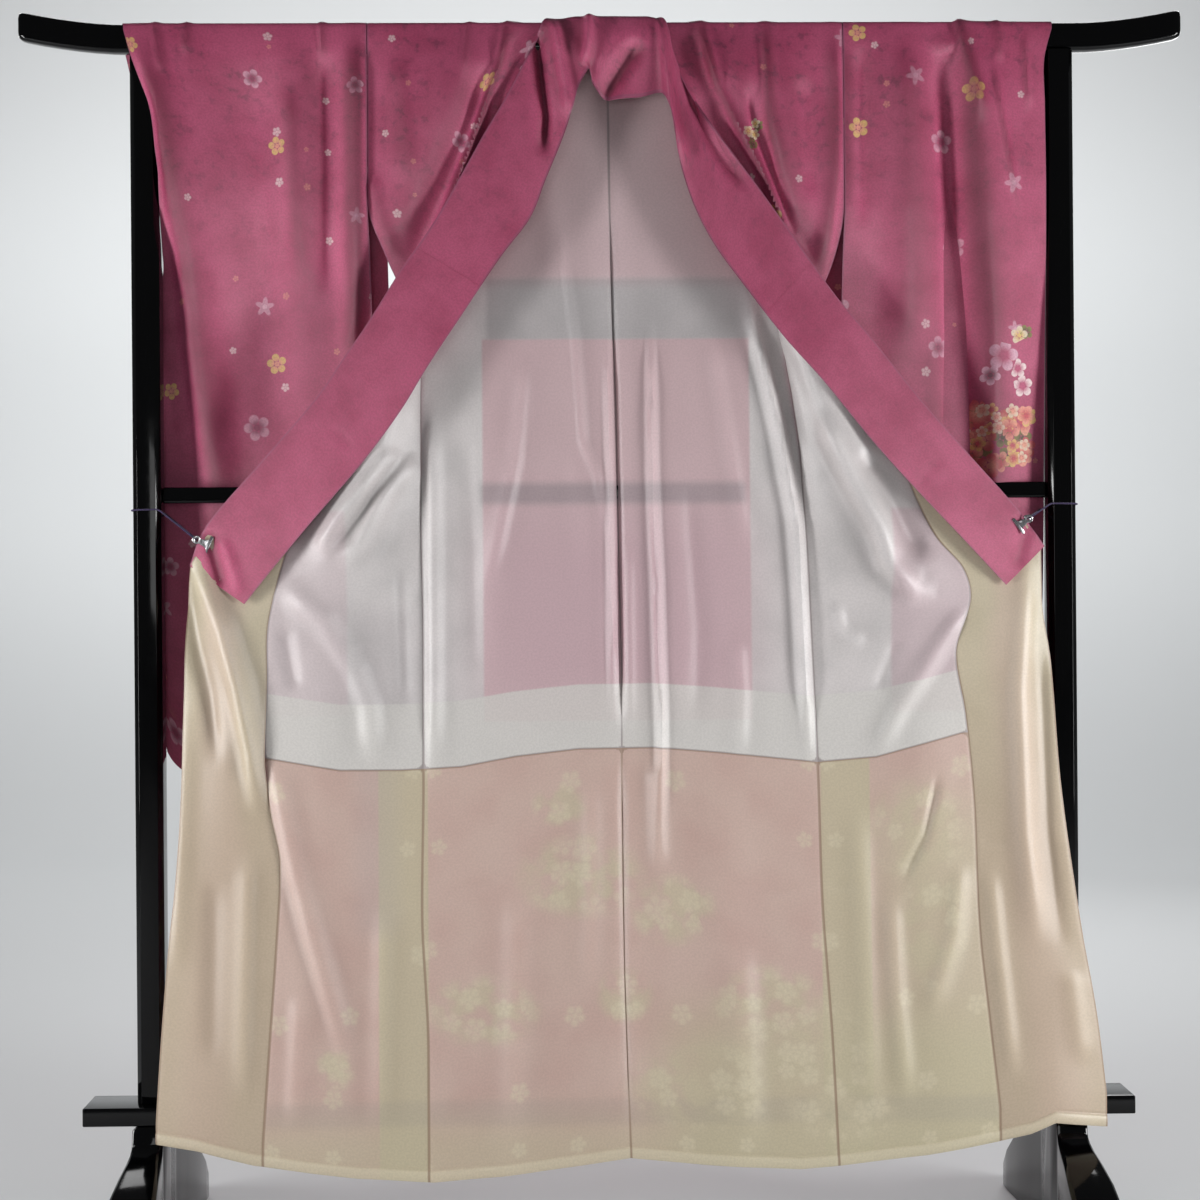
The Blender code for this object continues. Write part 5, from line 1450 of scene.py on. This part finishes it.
# Along a foot: y, height of the top below the board, half width
FOOT_STATIONS = [
    (0, 0, 2.2), (4.2, 0, 2.2), (4.8, 2.4, 2.2), (5.6, 3.2, 2.3), (7.5, 4, 2.5), (11, 5, 2.8),
    (15, 6.6, 3.2), (19, 8.8, 3.4), (22.5, 11.4, 3.6), (25, 14, 3.6), (26.2, 16.2, 3.4),
]
for side, label in LABELS:
    x = sign(side) * POST_X
    low = RAIL_TOP - PLANK_DROPS[0] + JOINT_GAP
    high = RAIL_TOP - RAIL_TALL - JOINT_GAP
    ring = rounded_ring(POST_WIDE / 2, POST_WIDE / 2, POST_CHAMFER, 1)
    post = add_loft(f"post_lacquer_{label}", [[(x + a, b, z) for a, b in ring] for z in (low, high)])
    bevel_edges(post, 0.06)
    lacquered(post, f"post_{label}")
    top = RAIL_TOP - PLANK_DROPS[1] - JOINT_GAP
    rings = []
    for y, fall, half in [(-y, *rest) for y, *rest in FOOT_STATIONS[:0:-1]] + FOOT_STATIONS:
        arch, high, slope = FOOT_ARCH * smooth(14, 10, abs(y)), top - fall, half - FOOT_CHAMFER
        side_top = high - FOOT_CHAMFER
        rings.append([(x + a, y, z) for a, z in (
            (-half, arch), (half, arch), (half, side_top), (slope, high), (-slope, high),
            (-half, side_top),
        )])
    foot = add_loft(f"foot_lacquer_{label}", rings)
    bevel_edges(foot, 0.1)
    lacquered(foot, f"foot_{label}")

# The other rails: node, half length, depth, drops of its top and bottom, bevel
BARS = [
    ("mid_rail", POST_X - POST_WIDE / 2 - JOINT_GAP, MID_RAIL_DEEP, MID_RAIL_DROPS, 0.4),
    ("low_rail", PLANK_HALF_LENGTH, PLANK_DEEP, PLANK_DROPS, 0.2),
]
for node, half, deep, (first, last), bevel in BARS:
    low, high = (-half, -deep / 2, RAIL_TOP - last), (half, deep / 2, RAIL_TOP - first)
    bar = add_box(f"{node}_lacquer", low, high)
    bevel_edges(bar, bevel, 4)
    lacquered(bar, node)

# ---------------------------------------------------------------- clips and ties

# Each clip's side, its drop and the angle that it points at. Its own sizes run outward from the
# collar's edge: the middle of its jaws, its eye and its coil.
CLIPS = [("R", "right", 74, 156), ("L", "left", 71.9, 36)]
JAW_MIDDLE = -1.45
# How far the middles of the jaws stand off the middles of the collar and of the strip
COLLAR_JAW, STRIP_JAW = 0.14, 0.1
EYE, EYE_RADIUS, HOLE_RADIUS = 0.35, 0.58, 0.3
# Half a plate's thickness, and how far it stands off at its neck, at its eye and at its lip
PLATE_HALF, NECK_OFF, EYE_OFF, LIP = 0.035, 0.16, 0.62, 0.05
COIL_MIDDLE, COIL_RADIUS, COIL_HALF, COIL_WIRE, COIL_TURNS = -0.55, 0.33, 0.42, 0.04, 9
TIE_DROP, CORD_RADIUS = 69.4, 0.12
CORD_STEP, CORD_GAP, CORD_FALL = 0.35, 0.06, 0.06


def clip_place(side, drop, turn, a, across, b):
    """A clip's own sizes as a place: outward, across it, and back from the collar's edge."""
    x, y = collar_seam(side, np.array([drop]))[0]
    turn = math.radians(turn)
    return (
        x + a * math.cos(turn) - across * math.sin(turn),
        y + 0.2 + b + 0.05 * a,
        RAIL_TOP - drop + a * math.sin(turn) + across * math.cos(turn),
    )


def nearest_y(points, place):
    """How far back the cloth lies at a place seen from the front, in centimetres."""
    points = points.reshape(-1, 3) / CM
    away = np.hypot(points[:, 0] - place[0], points[:, 2] - place[2])
    return points[np.argsort(away)[:6], 1]


def add_clip(side, label, drop, turn):
    """Two sprung plates with a wide jaw and a round eye each, and the coil between them."""
    def at(a, across, b):
        return clip_place(side, drop, turn, a, across, b)

    jaw_place = at(JAW_MIDDLE, 0, 0)
    jaws = (nearest_y(collar_grid(0, COLLAR_END), jaw_place).min() - COLLAR_JAW - jaw_place[1],
            nearest_y(okumi_grid(side), jaw_place).max() + STRIP_JAW - jaw_place[1])
    outline = [(-1.68, 1.22), (-1.62, 1.3), (-1.3, 1.3), (-1.24, 1.2), (-1.2, 0.62), (-0.9, 0.5),
               (-0.45, 0.42), (-0.2, 0.36)]
    outline += [(EYE - EYE_RADIUS * math.cos(t), EYE_RADIUS * math.sin(t))
                for t in np.linspace(0.75, math.pi - 0.05, 12)]
    plates = []
    for front, jaw in zip((-1, 1), jaws):
        rings = []
        for a, half in outline:
            b = jaw + front * NECK_OFF * smooth(-1.3, -0.6, a)
            b += (front * EYE_OFF - jaw) * smooth(-0.6, 0.5, a) + front * LIP * fade(-1.66, -1.5, a)
            near, far = b - PLATE_HALF, b + PLATE_HALF
            rings.append([at(a, half, near), at(a, -half, near), at(a, -half, far),
                          at(a, half, far)])
        plates.append(add_loft(f"clip_plate_{label}_{'front' if front < 0 else 'back'}", rings))
    bpy.ops.mesh.primitive_cylinder_add(
        vertices=24, radius=HOLE_RADIUS * CM, depth=0.03, location=np.array(at(EYE, 0, 0)) * CM,
        rotation=(math.pi / 2, 0, 0),
    )
    cutter = bpy.context.object
    for plate in plates:
        cut = plate.modifiers.new("Eye", "BOOLEAN")
        cut.operation, cut.object, cut.solver = "DIFFERENCE", cutter, "EXACT"
        apply_modifiers(plate)
        bevel_edges(plate, 0.012, 2)
        finish_piece(plate, steel, f"clip_{label}")
    bpy.data.objects.remove(cutter)
    # The coil runs across between the plates
    turns = np.linspace(0, COIL_TURNS * 2 * math.pi, COIL_TURNS * 14)
    centres, coil = [], []
    for t in turns:
        across = -COIL_HALF + 2 * COIL_HALF * t / turns[-1]
        a, b = COIL_RADIUS * math.cos(t), COIL_RADIUS * math.sin(t)
        centres.append(at(COIL_MIDDLE, across, 0))
        coil.append(at(COIL_MIDDLE + a, across, b))
    centres, coil = np.array(centres), np.array(coil)
    ahead = np.concatenate([coil[1:], coil[-1:]]) - np.concatenate([coil[:1], coil[:-1]])
    ahead /= np.linalg.norm(ahead, axis=1)[:, None]
    out = coil - centres
    out /= np.linalg.norm(out, axis=1)[:, None]
    beside = np.cross(ahead, out)
    rings = np.stack([coil + COIL_WIRE * (out * math.cos(q) + beside * math.sin(q))
                      for q in np.linspace(0, 2 * math.pi, 6, endpoint=False)], axis=1)
    finish_piece(add_loft(f"clip_coil_{label}", rings), steel, f"clip_{label}")


def tie_route(side, drop, turn):
    """A cord's way: through the clip's eyes, and once round the post."""
    s = sign(side)
    back, front = [clip_place(side, drop, turn, EYE + CORD_RADIUS, 0, b) for b in (0.75, -0.75)]
    level = RAIL_TOP - TIE_DROP
    half = POST_WIDE / 2 + CORD_RADIUS + CORD_GAP
    cut = half - POST_CHAMFER * 0.6
    corners = [(-cut, -half), (cut, -half), (half, -cut), (half, cut), (cut, half), (-cut, half)]
    around = [(s * (POST_X + cx), cy, level - CORD_FALL * k) for k, (cx, cy) in enumerate(corners)]
    stops = np.array([back, front] + around + [back])
    route = []
    for start, end in zip(stops, stops[1:]):
        count = max(2, round(np.linalg.norm(end - start) / CORD_STEP))
        route += [start + (end - start) * k / count for k in range(count)]
    route = np.array(route)
    # Rounded where it turns
    for _ in range(2):
        route = (np.roll(route, 1, axis=0) + 2 * route + np.roll(route, -1, axis=0)) / 4
    return route


for side, label, drop, turn in CLIPS:
    add_clip(side, label, drop, turn)
    tie = add_cord(f"tie_cord_{label}", tie_route(side, drop, turn), CORD_RADIUS)
    finish_piece(tie, cord, f"tie_{label}")

# ---------------------------------------------------------------- camera, light and floor

# The floor curves up into the wall, in metres. It lies just below the feet.
FLOOR_FRONT, WALL_Y, WALL_TOP, CURVE, STAGE_HALF, STAGE_DOWN = -9, 6.5, 9, 2, 10, 0.001
turn = np.linspace(0, math.pi / 2, 24)
curve = zip(WALL_Y - CURVE + CURVE * np.sin(turn), CURVE - CURVE * np.cos(turn))
sweep = [(FLOOR_FRONT, 0), *curve, (WALL_Y, WALL_TOP)]
stage = add_grid("floor_and_wall", np.array([
    [(x, y, z - STAGE_DOWN) for x in (-STAGE_HALF, STAGE_HALF)] for y, z in sweep
]))
bpy.ops.object.shade_smooth()
stage.data.materials.append(make_pale())

# Lamps in metres and watts: place, what it points at, power, width and height
LIGHTS = [
    ("left_light", (-2.2, -1.15, 0.8), (0, 0, 0.8), 37, 0.4, 1.2),
    ("right_light", (2.2, -1.15, 0.8), (0, 0, 0.8), 41, 0.4, 1.2),
    ("front_light", (-0.4, -3.4, 1.2), (0, 0, 0.7), 8.5, 1.2, 0.8),
    ("wall_light", (0, 3.2, 4.0), (0, 6.5, 1.6), 175, 6.0, 1.0),
    ("floor_light", (0, 1.7, 2.4), (0, 0.8, 0), 34, 3.0, 0.8),
    ("back_light", (1.6, 3.0, 2.2), (0, 0, 1.0), 17, 1.2, 1.6),
]
for name, place, target, power, wide, tall in LIGHTS:
    bpy.ops.object.light_add(type="AREA", location=place)
    light = bpy.context.object
    light.name = name
    light.data.shape, light.data.energy = "RECTANGLE", power
    light.data.size, light.data.size_y = wide, tall
    way = np.array(target) - np.array(place)
    light.rotation_euler = (
        math.acos(-way[2] / np.linalg.norm(way)), 0, math.atan2(way[1], way[0]) - math.pi / 2,
    )

# The air is brighter as the camera sees it than as a light
world = bpy.data.worlds.new("studio")
bpy.context.scene.world = world
world.use_nodes = True
seen = Value(add_node(world.node_tree, "ShaderNodeLightPath", {})["Is Camera Ray"])
feed(world.node_tree.nodes["Background"],
     {"Color": (0.86, 0.88, 0.9, 1), "Strength": seen * 0.5 + 0.11})

bpy.ops.object.camera_add(
    location=(-0.073, -3.0, 0.922),
    rotation=(math.pi / 2, math.radians(0.45), math.radians(-1.2)),
)
camera = bpy.context.object
camera.name = "camera"
camera.data.lens, camera.data.sensor_width = 62.5, 36
bpy.context.scene.camera = camera
bpy.context.scene.view_settings.view_transform = "Standard"
